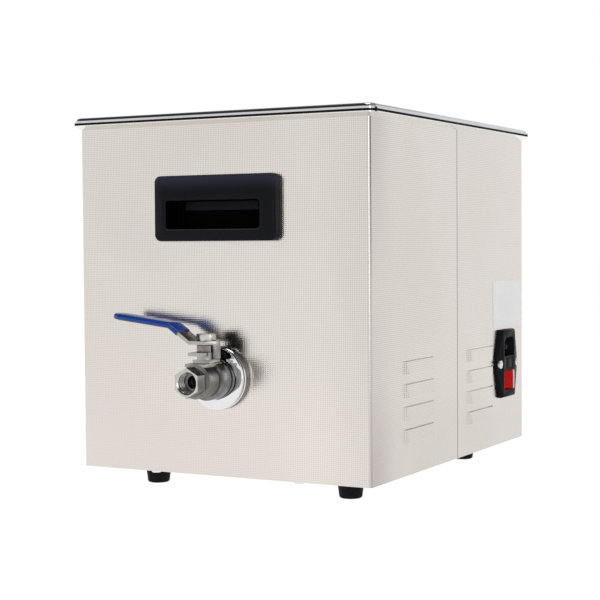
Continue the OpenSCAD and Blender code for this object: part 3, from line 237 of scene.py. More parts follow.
def make_sheet_shading():
    """Painted light and shade over the housing: paler low on its sides, darker on the back and near its bend, and
    a dark line along its fold.
    """
    tree, given, result = shader_group("Sheet Painted Shading", ["Tone", "Relief"])
    x, y, z = axes(tree, given["Position"])
    around = calc(tree, "ADD", x, y)
    # Painted shade on the back: darker near the bend, away from its middle height and low down
    back = ramp(tree, y, BACK_FROM)
    off_middle = calc(tree, "ABSOLUTE", calc(tree, "SUBTRACT", z, BACK_MIDDLE))
    lost = calc(tree, "MULTIPLY_ADD", off_middle, *BACK_BEND_LOSS)
    lost = calc(tree, "MULTIPLY", ramp(tree, x, BACK_BEND), lost)
    lost = calc(tree, "ADD", lost, ramp(tree, z, *BACK_LOW_LOSS))
    rear = calc(tree, "MULTIPLY", back, calc(tree, "SUBTRACT", 1.0, lost))
    # Painted light and shade on the side: paler low down, darker towards -Y and near the bend
    side = calc(tree, "SUBTRACT", 1.0, back)
    for place, change in ((z, SIDE_UP), (y, SIDE_ALONG), (y, SIDE_BEND)):
        side = calc(tree, "MULTIPLY", side, ramp(tree, place, *change))
    # Painted shade: a dark line along the housing's fold
    tone = calc(tree, "MULTIPLY", calc(tree, "ADD", rear, side), ramp(tree, around, *FOLD_SHADE))
    tree.links.new(tone, result["Tone"])
    # Relief scales both the dots' bump and the painted shade in their pits
    relief = calc(tree, "MULTIPLY_ADD", z, *RELIEF_UP)
    relief = calc(tree, "MULTIPLY_ADD", around, RELIEF_AROUND, relief)
    relief = calc(tree, "MAXIMUM", calc(tree, "MINIMUM", relief, RELIEF_MOST), RELIEF_LEAST)
    relief = calc(tree, "MULTIPLY", relief, ramp(tree, z, *RELIEF_LOW))
    tree.links.new(relief, result["Relief"])
    return tree


def make_grain():
    """Fine lines along one direction: noise stretched by a scale for each axis."""
    tree, given, result = shader_group("Brushed Lines", ["Height"], Stretch=(1, 1, 1))
    inputs = {0: given["Position"], 1: given["Stretch"]}
    place = add_node(tree, "ShaderNodeVectorMath", inputs, operation="MULTIPLY")[0]
    tree.links.new(noise(tree, place, scale=1, detail=3, roughness=0.6), result["Height"])
    return tree


def make_smudge():
    """Soft uneven patches from handling."""
    patch_edge = (0.35, 0.65)
    tree, given, result = shader_group("Handling Marks", ["Mask"], Scale=20.0)
    patches = noise(tree, given["Position"], given["Scale"], detail=4, roughness=0.55)
    tree.links.new(ramp(tree, patches, patch_edge), result["Mask"])
    return tree


def make_speckle():
    """Fine pebbled skin of castings and mouldings."""
    coarser = 0.45
    tree, given, result = shader_group("Pebbled Skin", ["Height"], Scale=2000.0)
    place, scale = given["Position"], given["Scale"]
    inputs = {"Vector": place, "Scale": scale}
    cells = add_node(tree, "ShaderNodeTexVoronoi", inputs, feature="SMOOTH_F1")["Distance"]
    uneven = noise(tree, place, calc(tree, "MULTIPLY", scale, coarser), detail=2)
    tree.links.new(calc(tree, "MULTIPLY", cells, uneven), result["Height"])
    return tree


GROUPS = {}


def group_outputs(tree, name, **inputs):
    """Outputs of a shared group placed in a material, with its inputs set."""
    return add_node(tree, "ShaderNodeGroup", inputs, node_tree=GROUPS[name])


def marks_on(tree, place, scale):
    """Mask of the handling marks."""
    return group_outputs(tree, "smudge", Position=place, Scale=scale)["Mask"]


def rgba(value, factor=1.0):
    """Colour with alpha, scaled by a factor."""
    return (value[0] * factor, value[1] * factor, value[2] * factor, 1.0)


def surface(name):
    """New material: its tree, its Principled shader and its Object coordinates."""
    material = bpy.data.materials.new(name)
    material.use_nodes = True
    tree = material.node_tree
    shader = tree.nodes["Principled BSDF"]
    place = add_node(tree, "ShaderNodeTexCoord")["Object"]
    return material, tree, shader, place


def finish(
    name, base, metallic, rough, smudge, pattern=2500, shade=0.9, bump=(0.2, 1e-4), pale_top=None, **sockets
):
    """Material with uneven colour and roughness over a fine bump.

    smudge is the scale of the marks and their tint, pattern the scale of a pebbled skin or the
    stretch of brushed lines, shade the painted shade at the pattern's low places, bump its strength and
    distance, and the painted top light the span of heights over which the colour grows as painted light
    from above, and by how much.
    """
    material, tree, shader, place = surface(name)
    marks = marks_on(tree, place, smudge[0])
    if isinstance(pattern, tuple):
        height = group_outputs(tree, "grain", Position=place, Stretch=pattern)["Height"]
    else:
        height = group_outputs(tree, "speckle", Position=place, Scale=pattern)["Height"]
    tone = mix_colour(tree, marks, rgba(base), rgba(base, smudge[1]))
    # Painted shade: darker colour at the pattern's low places
    tone = mix_colour(tree, height, mix_colour(tree, 1.0, tone, rgba((shade,) * 3), "MULTIPLY"), tone)
    # Painted light: the colour grows towards the top of the span, as lit from above
    if pale_top:
        share = ramp(tree, axes(tree, place)["Z"], pale_top[:2])
        tone = mix_colour(tree, share, tone, rgba(base, pale_top[2]))
    fill(
        tree, shader, Base_Color=tone, Metallic=metallic, Roughness=rescale(tree, marks, *rough),
        Normal=bumps(tree, height, *bump), **sockets,
    )
    return material


def embossed_steel(base, pitch):
    """Housing sheet: satin steel with a grid of pressed dots, painted shade in their pits and the sheet's painted
    shading over it.
    """
    material, tree, shader, place = surface("embossed_steel")
    worn = rgba((base[0] * 0.975, base[1] * 0.965, base[2] * 0.965))
    # Painted shade: the dots' pits darker than the sheet
    pressed = rgba(base, 0.66)
    dots = group_outputs(tree, "emboss", Position=place, Pitch=pitch)
    marks = marks_on(tree, place, 9.0)
    slow = group_outputs(tree, "sheet", Position=place)
    pit = calc(tree, "MULTIPLY", dots["Pit"], slow["Relief"])
    height = calc(tree, "MULTIPLY", dots["Height"], slow["Relief"])
    tone = mix_colour(tree, pit, mix_colour(tree, marks, rgba(base), worn), pressed)
    # The sheet's painted light and shade over the whole colour
    tone = mix_colour(tree, 1.0, tone, slow["Tone"], "MULTIPLY")
    fill(
        tree, shader, Base_Color=tone, Metallic=1, Roughness=rescale(tree, marks, 0.16, 0.20),
        Normal=bumps(tree, height, strength=0.32, distance=1.2e-4),
    )
    return material


def rocker_plastic(base, edge_x):
    """Glossy switch with a painted highlight, a white strip past edge_x."""
    painted_highlight_white = (0.85, 0.83, 0.82, 1)
    material, tree, shader, place = surface("rocker_plastic")
    # Painted highlight: white across the rocker's end below edge_x
    strip = calc(tree, "LESS_THAN", axes(tree, place)["X"], edge_x)
    marks = marks_on(tree, place, 120.0)
    tone = mix_colour(tree, marks, rgba(base), rgba(base, 0.85))
    tone = mix_colour(tree, strip, tone, painted_highlight_white)
    fill(tree, shader, Base_Color=tone, Roughness=rescale(tree, marks, 0.22, 0.3), IOR=1.06)
    return material


def board_laminate():
    """Green circuit board with paler copper tracks under its mask."""
    greens = {
        "Color1": (0.01, 0.10, 0.03, 1), "Color2": (0.012, 0.13, 0.045, 1), "Mortar": (0.03, 0.22, 0.08, 1)
    }
    material, tree, shader, place = surface("board_laminate")
    inputs = {"Vector": place, "Scale": 160.0, "Mortar Size": 0.03, **greens}
    tracks = add_node(tree, "ShaderNodeTexBrick", inputs)["Color"]
    marks = marks_on(tree, place, 60.0)
    fill(tree, shader, Base_Color=tracks, Roughness=rescale(tree, marks, 0.3, 0.45))
    return material


def winding_copper():
    """Enamelled wire wound in close turns, with painted shade in the gaps between them."""
    gap_shade, crest = (0.20, 0.06, 0.02, 1), (0.45, 0.17, 0.06, 1)
    material, tree, shader, place = surface("winding_copper")
    inputs = {"Vector": place, "Scale": 320.0, "Distortion": 0.6}
    turns = add_node(tree, "ShaderNodeTexWave", inputs, bands_direction="Y")["Fac"]
    # Painted shade: the gaps between turns darker than their crests
    tone = mix_colour(tree, turns, gap_shade, crest)
    skin = bumps(tree, turns, strength=0.5, distance=3e-4)
    fill(tree, shader, Base_Color=tone, Metallic=0.6, Roughness=0.35, Normal=skin)
    return material


BRUSHED_UP = (900, 900, 25)
BRUSHED_FLAT = (30, 1200, 1200)
PLAIN_FINISHES = {
    "plain_steel": ("frame", 1, (0.30, 0.38), (14, 0.95), BRUSHED_FLAT, 0.95, (0.08, 5e-5)),
    "frame_steel": ("frame", 1, (0.13, 0.18), (14, 0.98), BRUSHED_FLAT, 0.98, (0.04, 4e-5)),
    "polished_steel": ("rim", 1, (0.06, 0.11), (16, 0.94), BRUSHED_UP, 0.97, (0.05, 3e-5)),
    "cast_steel": ("valve", 1, (0.26, 0.38), (120, 0.75), 1800, 0.85, (0.35, 1.5e-4)),
    "pressed_steel": ("lever", 1, (0.24, 0.34), (70, 0.85), (60, 60, 60), 0.9, (0.05, 1e-4)),
    "machined_steel": ((0.60, 0.59, 0.58), 1, (0.16, 0.24), (150, 0.9), (1500, 60, 60), 0.9, (0.1, 5e-5)),
    "screw_steel": ((0.80, 0.79, 0.77), 1, (0.28, 0.36), (150, 0.9), 3000, 0.95, (0.05, 5e-5)),
    "mirror_steel": ((0.80, 0.80, 0.82), 1, (0.04, 0.07), (60, 0.98), (40, 600, 600), 0.98, (0.02, 2e-5)),
    # Near-black painted shade for rear faces and for the band in front of the disc's rim
    "raw_steel": ((0.03, 0.03, 0.032), 1, (0.45, 0.55), (120, 0.8), 1800, 0.85, (0.3, 1e-4)),
    "black_rubber": ((0.007, 0.007, 0.007), 0, (0.62, 0.75), (120, 1.35), 2200, 0.8, (0.3, 1e-4)),
    "handle_plastic": ("handle", 0, (0.40, 0.50), (45, 1.25), 2600, 0.8, (0.25, 1.2e-4)),
    "handle_edge": ("handle", 0, (0.25, 0.35), (45, 1.25), 2600, 0.8, (0.1, 5e-5)),
    # Near-black painted shade for the inside of the finger pockets
    "pocket_painted_shade": ((0.0008, 0.0008, 0.001), 0, (0.6, 0.7), (45, 1.25), 2600, 0.8, (0.25, 1.2e-4)),
    "inlet_plastic": ("inlet", 0, (0.32, 0.42), (80, 1.2), 3500, 0.85, (0.12, 8e-5)),
    "blue_vinyl": ("sleeve", 0, (0.20, 0.28), (70, 0.85), (90, 90, 90), 0.92, (0.05, 3e-4)),
    "white_resin": ((0.80, 0.80, 0.77), 0, (0.4, 0.5), (80, 0.94)),
    "clear_hose": ((0.55, 0.57, 0.54), 0, (0.25, 0.35), (60, 0.9)),
    "blank_paper": ("label", 0, (0.45, 0.55), (40, 0.97), 5000, 0.97, (0.06, 5e-5)),
    "contact_brass": ((0.78, 0.70, 0.52), 1, (0.2, 0.3), (200, 0.85), 4000, 0.95, (0.05, 5e-5)),
    "milled_aluminium": ((0.74, 0.75, 0.76), 1, (0.28, 0.36), (40, 0.9), (800, 800, 40), 0.92, (0.1, 5e-5)),
    "piezo_ceramic": ((0.16, 0.14, 0.12), 0, (0.5, 0.65), (90, 0.8)),
    "panel_plastic": ("panel", 0, (0.34, 0.42), (25, 1.15), 4200, 0.85, (0.12, 6e-5)),
    "button_plastic": ((0.50, 0.52, 0.55), 0, (0.3, 0.38), (120, 0.93), 4200, 0.95, (0.1, 5e-5)),
    "display_plastic": ((0.006, 0.006, 0.008), 0, (0.06, 0.1), (50, 1.3), 5000, 0.95, (0.01, 2e-5)),
    "unlit_segment": ((0.045, 0.040, 0.042), 0, (0.25, 0.3), (90, 0.9)),
    "mark_print": ((0.03, 0.035, 0.045), 0, (0.45, 0.5), (90, 1.2)),
    "heater_silicone": ((0.55, 0.11, 0.03), 0, (0.6, 0.7), (50, 0.9), 900, 0.85, (0.3, 2e-4)),
    "fuse_glass": ((0.85, 0.88, 0.88), 0, (0.05, 0.09), (90, 0.97), 3000, 0.98, (0.02, 2e-5)),
}
OTHER_LOOKS = {
    "black_rubber": {"Specular_IOR_Level": 0.12},
    # The handle's colour grows towards its top as painted light
    "handle_plastic": {"Specular_IOR_Level": 0.1, "pale_top": (0.234, 0.249, 6.0)},
    "handle_edge": {"Specular_IOR_Level": 0.6},
    "pocket_painted_shade": {"Specular_IOR_Level": 0.02},
    "inlet_plastic": {"Specular_IOR_Level": 0.025},
    "blue_vinyl": {"Specular_IOR_Level": 0.3, "Coat_Weight": 0.25, "Coat_Roughness": 0.12},
    "blank_paper": {"Specular_IOR_Level": 1, "Coat_Weight": 1, "Coat_IOR": 2, "Coat_Roughness": 0.2},
    "fuse_glass": {"Transmission_Weight": 0.9},
}
# Width of the painted highlight across the rocker's end
ROCKER_HIGHLIGHT_W = 3.4 * MM
FINISHES = {}


def make_finishes(settings, sizes):
    """All materials of the cleaner by name, with the node groups that they share."""
    GROUPS.update(
        emboss=make_emboss(),
        sheet=make_sheet_shading(),
        grain=make_grain(),
        smudge=make_smudge(),
        speckle=make_speckle(),
    )
    for name, (base, *looks) in PLAIN_FINISHES.items():
        tone = getattr(settings, base) if isinstance(base, str) else base
        FINISHES[name] = finish(name, tone, *looks, **OTHER_LOOKS.get(name, {}))
    FINISHES.update(
        embossed_steel=embossed_steel(settings.housing, sizes.emboss_pitch),
        rocker_plastic=rocker_plastic(settings.rocker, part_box("rocker")[0].x + ROCKER_HIGHLIGHT_W),
        board_laminate=board_laminate(),
        winding_copper=winding_copper(),
    )


CAD_FINISHES = {
    "embossed_steel": ["housing_wrap"],
    "plain_steel": [
        "seam_strip", "base_plate", "foot_screws", "handle_screws", "drain_spigot",
        "drain_nipple", "hose_clamps", "transducer_tails", "transducer_bolts",
    ],
    "frame_steel": ["top_frame"],
    "polished_steel": ["tank"],
    "cast_steel": ["valve_stem", "valve_ball"],
    "black_rubber": ["rim_seal", "mains_leads"],
    "inlet_plastic": ["tact_switches"],
    "white_resin": ["valve_seats", "stem_packing", "thermostat"],
    "clear_hose": ["drain_hose"],
    "blank_paper": ["rating_label"],
    "contact_brass": ["drain_locknut", "control_standoffs", "board_standoffs"],
    "screw_steel": ["inlet_pins"],
    "milled_aluminium": ["transducer_horns", "heat_sink"],
    "piezo_ceramic": ["piezo_rings"],
    "display_plastic": ["display_windows"],
    "board_laminate": ["control_board", "generator_board"],
    "heater_silicone": ["heater_pads"],
    "fuse_glass": ["fuse"],
    "winding_copper": ["transformer"],
}


# Mesh helpers

WELD = 0.002 * MM
FLAT = math.radians(0.4)
SHARP = math.radians(24)
FILL_ERROR = 0.005


def add_object(name, data):
    """Object at the origin, linked to the scene."""
    made = bpy.data.objects.new(name, data)
    bpy.context.scene.collection.objects.link(made)
    return made


def mesh_piece(name, bm, *materials, smooth_deg=30.0):
    """Object at the origin from a bmesh, shaded smooth below the given edge angle."""
    mesh = bpy.data.meshes.new(name)
    bmesh.ops.recalc_face_normals(bm, faces=bm.faces)
    bm.to_mesh(mesh)
    bm.free()
    for material in materials:
        mesh.materials.append(FINISHES[material])
    mesh.shade_smooth()
    mesh.set_sharp_from_angle(angle=math.radians(smooth_deg))
    return add_object(name, mesh)


def attach(piece, body, node=None):
    """Let a piece ride a body and, where one is named, stand for a CAD node."""
    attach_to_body(piece, body)
    if node:
        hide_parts(node)


def cad_bmesh(node):
    """CAD node as a bmesh with its doubled corners joined."""
    bm = bmesh.new()
    bm.from_mesh(frame["nodes"][node].data)
    bmesh.ops.remove_doubles(bm, verts=bm.verts, dist=WELD)
    return bm


def fills_cleanly(bm):
    """True where the triangles of the many-sided faces cover just those faces."""
    copy = bm.copy()
    whole = sum(f.calc_area() for f in copy.faces)
    bmesh.ops.triangulate(copy, faces=copy.faces)
    filled = sum(f.calc_area() for f in copy.faces)
    copy.free()
    return abs(filled - whole) < FILL_ERROR * whole


def softened(node, width, segments):
    """Copy of a CAD node as a bmesh with its sharp edges rounded."""
    for in_triangles in (False, True):
        bm = cad_bmesh(node)
        bmesh.ops.dissolve_limit(
            bm, angle_limit=FLAT, use_dissolve_boundaries=False, verts=bm.verts, edges=bm.edges
        )
        if in_triangles:
            bmesh.ops.triangulate(bm, faces=bm.faces)
        sharp = [e for e in bm.edges if e.is_manifold and e.calc_face_angle(0.0) > SHARP]
        bmesh.ops.bevel(
            bm, geom=sharp, offset=width, offset_type="OFFSET", segments=segments, profile=0.5,
            affect="EDGES", clamp_overlap=True, miter_outer="ARC",
        )
        if in_triangles or fills_cleanly(bm):
            return bm
        bm.free()


def islands(node):
    """Boxes of the separate solids of a CAD node, in a steady order."""
    bm = cad_bmesh(node)
    left = set(bm.verts)
    boxes = []
    while left:
        stack = [left.pop()]
        spots = []
        while stack:
            vert = stack.pop()
            spots.append(vert.co.copy())
            near = {e.other_vert(vert) for e in vert.link_edges} & left
            left -= near
            stack.extend(near)
        boxes.append((Vector(map(min, *spots)), Vector(map(max, *spots))))
    bm.free()
    return sorted(boxes, key=lambda b: tuple(round(c, 5) for c in b[0]))


def soft_copy(node, body, slot, width, *materials, segments=2):
    """Piece that stands for a CAD node, with rounded edges."""
    piece = mesh_piece(node + "_soft", softened(node, width, segments), *materials)
    attach(piece, body, node)
    return piece


def rounded_outline(width, height, radius, drop=0.0, steps=8):
    """Points of a rounded rectangle, its centre lowered by drop."""
    points = []
    corners = ((1, 1, 0), (-1, 1, 90), (-1, -1, 180), (1, -1, 270))
    for sx, sy, start in corners:
        for i in range(steps + 1):
            turn = math.radians(start + 90 * i / steps)
            points.append((
                sx * (width / 2 - radius) + radius * math.cos(turn),
                sy * (height / 2 - radius) + radius * math.sin(turn) - drop,
            ))
    return points


def band(bm, first, second):
    """Quads between two closed rings of equal length."""
    for i in range(len(first)):
        j = (i + 1) % len(first)
        bm.faces.new((first[i], first[j], second[j], second[i]))


def loft(bm, loops, cap_end=True):
    """Closed rings of equal length joined by quads, with a flat start and, if asked, a flat end."""
    rings = [[bm.verts.new(p) for p in loop] for loop in loops]
    for first, second in zip(rings, rings[1:]):
        band(bm, first, second)
    bm.faces.new(list(reversed(rings[0])))
    if cap_end:
        bm.faces.new(rings[-1])
    return rings


def from_nodes(name, tree, points, inputs, material, attributes=None):
    """Plain mesh object from a Geometry Nodes tree run on a cloud of points."""
    cloud = bpy.data.meshes.new(name + "_points")
    cloud.from_pydata(points, [], [])
    for label, values in (attributes or {}).items():
        layer = cloud.attributes.new(label, "FLOAT", "POINT")
        layer.data.foreach_set("value", values)
    carrier = add_object(name + "_points", cloud)
    modifier = carrier.modifiers.new("build", "NODES")
    modifier.node_group = tree
    sockets = {
        item.name: item.identifier
        for item in tree.interface.items_tree
        if item.item_type == "SOCKET" and item.in_out == "INPUT"
    }
    for label, value in {**inputs, "Material": FINISHES[material]}.items():
        modifier[sockets[label]] = value
    depsgraph = bpy.context.evaluated_depsgraph_get()
    mesh = bpy.data.meshes.new_from_object(carrier.evaluated_get(depsgraph))
    bpy.data.objects.remove(carrier)
    bpy.data.meshes.remove(cloud)
    mesh.name = name
    return add_object(name, mesh)


def geometry_tree(name, **kinds):
    """New Geometry Nodes tree on points, with inputs of the named kinds and a material input."""
    tree = bpy.data.node_groups.new(name, "GeometryNodeTree")
    for label, kind in {"Geometry": "Geometry", **kinds, "Material": "Material"}.items():
        tree.interface.new_socket(label, in_out="INPUT", socket_type="NodeSocket" + kind)
    tree.interface.new_socket("Geometry", in_out="OUTPUT", socket_type="NodeSocketGeometry")
    return tree, add_node(tree, "NodeGroupInput")


def close_tree(tree, given, instance, turn=(0, 0, 0)):
    """Set an instance on each point, make it real, give it the material and end the tree."""
    inputs = {"Points": given["Geometry"], "Instance": instance, "Rotation": turn}
    placed = add_node(tree, "GeometryNodeInstanceOnPoints", inputs)[0]
    real = add_node(tree, "GeometryNodeRealizeInstances", {0: placed})[0]
    inputs = {"Geometry": real, "Material": given["Material"]}
    dressed = add_node(tree, "GeometryNodeSetMaterial", inputs)[0]
    add_node(tree, "NodeGroupOutput", {0: dressed})
    return tree


def screw_tree():
    """Screws of one shape set on points and turned to one direction."""
    tree, given = geometry_tree("Screws On Points", Screw="Object", Direction="Vector")
    shape = add_node(tree, "GeometryNodeObjectInfo", {"Object": given["Screw"]})["Geometry"]
    inputs = {"Vector": given["Direction"]}
    turn = add_node(tree, "FunctionNodeAlignRotationToVector", inputs, axis="Z")[0]
    return close_tree(tree, given, shape, turn)


def thread_tree():
    """Thread ridge along a helix, with a six-sided section, its axis turned onto X."""
    tree, given = geometry_tree("Thread Ridge", Radius="Float", Turns="Float", Length="Float", Depth="Float")
    helix = add_node(tree, "GeometryNodeCurveSpiral", {
        "Resolution": 48,
        "Rotations": given["Turns"],
        "Start Radius": given["Radius"],
        "End Radius": given["Radius"],
        "Height": given["Length"],
    })[0]
    inputs = {"Resolution": 6, "Radius": given["Depth"]}
    section = add_node(tree, "GeometryNodeCurvePrimitiveCircle", inputs)[0]
    inputs = {"Curve": helix, "Profile Curve": section, "Fill Caps": True}
    ridge = add_node(tree, "GeometryNodeCurveToMesh", inputs)[0]
    inputs = {"Geometry": ridge, "Rotation": (0, math.pi / 2, 0)}
    lying = add_node(tree, "GeometryNodeTransform", inputs)[0]
    return close_tree(tree, given, lying)


def segment_tree():
    """Flat six-sided display bars set on points, each turned by the points' own angle."""
    tree, given = geometry_tree("Display Segments", Length="Float", Width="Float", Thickness="Float")
    inputs = {"Vertices": 6, "Radius": 0.5, "Depth": given["Thickness"]}
    bar = add_node(tree, "GeometryNodeMeshCylinder", inputs)["Mesh"]
    inputs = {"X": given["Length"], "Y": given["Width"], "Z": 1}
    scale = add_node(tree, "ShaderNodeCombineXYZ", inputs)[0]
    bar = add_node(tree, "GeometryNodeTransform", {"Geometry": bar, "Scale": scale})[0]
    angle = add_node(tree, "GeometryNodeInputNamedAttribute", {"Name": "angle"})[0]
    turn = add_node(tree, "ShaderNodeCombineXYZ", {"X": math.pi / 2, "Y": angle})[0]
    return close_tree(tree, given, bar, turn)


# Screw head in parts of its radius: points round it, its dome, and the cross's arm, half width and taper
HEAD_POINTS = 24
HEAD_DOME = ((1.0, 0.0), (1.0, 0.62), (0.97, 0.82), (0.88, 0.95), (0.72, 1.0))
CROSS_ARM = 0.52
CROSS_HALF = 0.13
CROSS_TAPER = 0.7


def cross_head(head_r, head_h, shank_r, shank_l, recess):
    """Pan-head screw with a cross recess, its head's foot at the origin and its top towards +Z."""
    bm = bmesh.new()
    turns = [2 * math.pi * i / HEAD_POINTS for i in range(HEAD_POINTS)]

    def ring(radius, z):
        return [(radius * math.cos(turn), radius * math.sin(turn), z) for turn in turns]

    loops = [ring(shank_r, -shank_l), ring(shank_r, 0.0)]
    loops += [ring(head_r * r, head_h * z) for r, z in HEAD_DOME]
    rings = loft(bm, loops, cap_end=False)
    arm, half = head_r * CROSS_ARM, head_r * CROSS_HALF
    plan = [
        (arm, -half), (arm, half), (half, half), (half, arm), (-half, arm), (-half, half),
        (-arm, half), (-arm, -half), (-half, -half), (-half, -arm), (half, -arm), (half, -half),
    ]
    top = [bm.verts.new((x, y, head_h)) for x, y in plan]
    floor = [bm.verts.new((x * CROSS_TAPER, y * CROSS_TAPER, head_h - recess)) for x, y in plan]
    rim_edges = [bm.edges.new(ends) for ends in zip(top, top[1:] + top[:1])]
    outer_edges = [e for e in bm.edges if e.verts[0] in rings[-1] and e.verts[1] in rings[-1]]
    bmesh.ops.bridge_loops(bm, edges=rim_edges + outer_edges)
    band(bm, floor, top)
    bm.faces.new(floor)
    return bm


# Operators


class CleanerOperator:
    """Shared base of the cleaner's operators."""

    bl_options = {"REGISTER", "UNDO"}

    def execute(self, context):
        self.build(context.scene)
        return {"FINISHED"}


class CLEANER_OT_camera(CleanerOperator, bpy.types.Operator):
    """Camera at the height of the body, in front of the drain's corner"""

    bl_idname = "cleaner.camera"
    bl_label = "Camera"

    PLACE = Vector((1.125304, 0.588025, 0.196611))
    TURNS = ((118.2364, "Z"), (87.7258, "X"), (-0.4048, "Z"))
    SENSOR_W = 36.0
    CLIP = (0.05, 50.0)

    def build(self, scene):
        camera = add_object("camera", bpy.data.cameras.new("camera"))
        camera.data.sensor_width = self.SENSOR_W
        camera.data.lens = scene.cleaner_stage.lens
        camera.data.clip_start, camera.data.clip_end = self.CLIP
        matrix = Matrix.Translation(self.PLACE)
        for degrees, axis in self.TURNS:
            matrix @= Matrix.Rotation(math.radians(degrees), 4, axis)
        camera.matrix_world = matrix
        scene.camera = camera


class CLEANER_OT_finishes(CleanerOperator, bpy.types.Operator):
    """Materials of all pieces, and those of the CAD nodes that are shown as they are"""

    bl_idname = "cleaner.finishes"
    bl_label = "Finishes"

    def build(self, scene):
        make_finishes(scene.cleaner_finishes, scene.cleaner_sizes)
        for material, nodes in CAD_FINISHES.items():
            for node in nodes:
                slots = frame["nodes"][node].data.materials
                slots.clear()
                slots.append(FINISHES[material])


class CLEANER_OT_handles(CleanerOperator, bpy.types.Operator):
    """Two moulded handles with finger pockets"""

    bl_idname = "cleaner.handles"
    bl_label = "Handles"

    POCKET = (83 * MM, 21.6 * MM, 2.5 * MM)
    POCKET_DROP = 5 * MM
    POCKET_WALL = 1.6 * MM
    POCKET_DEG = range(0, 91, 30)
    LIP_FROM = 0.9
    FACE_STEPS = ((9 * MM, 0.35 * MM), (6 * MM, 0.0))
    RIM_H = 8.5 * MM
    RIM_DEG = range(0, 90, 15)
    CORNER_R = 5 * MM
    RIB = (65.6 * MM, 7.5 * MM, 4 * MM)
    RIB_ROUND = 0.6 * MM
    SMOOTH_DEG = 22.0

    def rings(self, low, high, wall_x, sizes):
        """Section outlines of a handle from its back to its pocket's floor: outline and height."""
        long, tall = high.y - low.y, high.z - low.z
        depth, crown = wall_x - low.x, high.x - wall_x
        pocket_l, pocket_h, pocket_r = self.POCKET
        drop, wall = self.POCKET_DROP, self.POCKET_WALL
        edge, soft = sizes.handle_round, sizes.pocket_round
        tub = (pocket_l + 2 * wall, pocket_h + 2 * wall, pocket_r + wall, drop)
        made = [(tub, -depth), (tub, 0.0), ((long, tall, self.CORNER_R, 0.0), 0.0)]
        for turn in map(math.radians, self.RIM_DEG):
            inset = edge * (1 - math.cos(turn))
            outline = (long - 2 * inset, tall - 2 * inset, self.CORNER_R - inset / 2, 0.0)
            made.append((outline, self.RIM_H - edge + edge * math.sin(turn)))
        for margin, sunk in self.FACE_STEPS:
            made.append(((pocket_l + margin, pocket_h + margin, self.CORNER_R, drop), crown - sunk))
        for turn in map(math.radians, self.POCKET_DEG):
            out = soft * (1 - math.sin(turn))
            outline = (pocket_l + 2 * out, pocket_h + 2 * out, pocket_r + out, drop)
            made.append((outline, crown - soft + soft * math.cos(turn)))
        floor = wall - depth
        made.append(((pocket_l, pocket_h, pocket_r, drop), floor + soft))
        made.append(((pocket_l - 2 * soft, pocket_h - 2 * soft, pocket_r, drop), floor))
        return made

    def shade(self, bm, middle, face_x, soft):
        """Give the pocket's inside a near-black finish as painted shade, and its lower lip its own finish."""
        half_l, half_h = self.POCKET[0] / 2 + soft, self.POCKET[1] / 2 + soft
        for face in bm.faces:
            spot = face.calc_center_median()
            up = spot.z - middle.z + self.POCKET_DROP
            if abs(spot.y - middle.y) < half_l and abs(up) < half_h:
                sunk = face_x - abs(spot.x)
                face.material_index = 1 if sunk > soft else 2 if up < -self.LIP_FROM * half_h else 0

    def add_rib(self, bm, low, middle, side):
        """Rounded rib on the pocket's floor, under its upper wall."""
        long, tall, thick = self.RIB
        rib_z = middle.z + (self.POCKET[1] - tall) / 2 - self.POCKET_DROP
        rib = bmesh.ops.create_cube(bm, size=1.0)["verts"]
        for v in rib:
            v.co = Vector((
                side * (low.x + self.POCKET_WALL + thick * (v.co.x + 0.5)),
                middle.y + long * v.co.y,
                rib_z + tall * v.co.z,
            ))
        edges = list({e for v in rib for e in v.link_edges})
        bmesh.ops.bevel(bm, geom=edges, offset=self.RIB_ROUND, segments=2, profile=0.5, affect="EDGES")

    def build(self, scene):
        sizes = scene.cleaner_sizes
        low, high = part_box("handle_right")
        wall_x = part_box("drain_escutcheon")[0].x
        middle = (low + high) / 2
        for side, node in ((1, "handle_right"), (-1, "handle_left")):
            bm = bmesh.new()
            loft(bm, [
                [
                    Vector((side * (wall_x + out), middle.y + u, middle.z + v))
                    for u, v in rounded_outline(*outline)
                ]
                for outline, out in self.rings(low, high, wall_x, sizes)
            ])
            self.shade(bm, middle, high.x, sizes.pocket_round)
            self.add_rib(bm, low, middle, side)
            finishes = ("handle_plastic", "pocket_painted_shade", "handle_edge")
            piece = mesh_piece(node + "_moulding", bm, *finishes, smooth_deg=self.SMOOTH_DEG)
            attach(piece, ROOT_BODY, node)


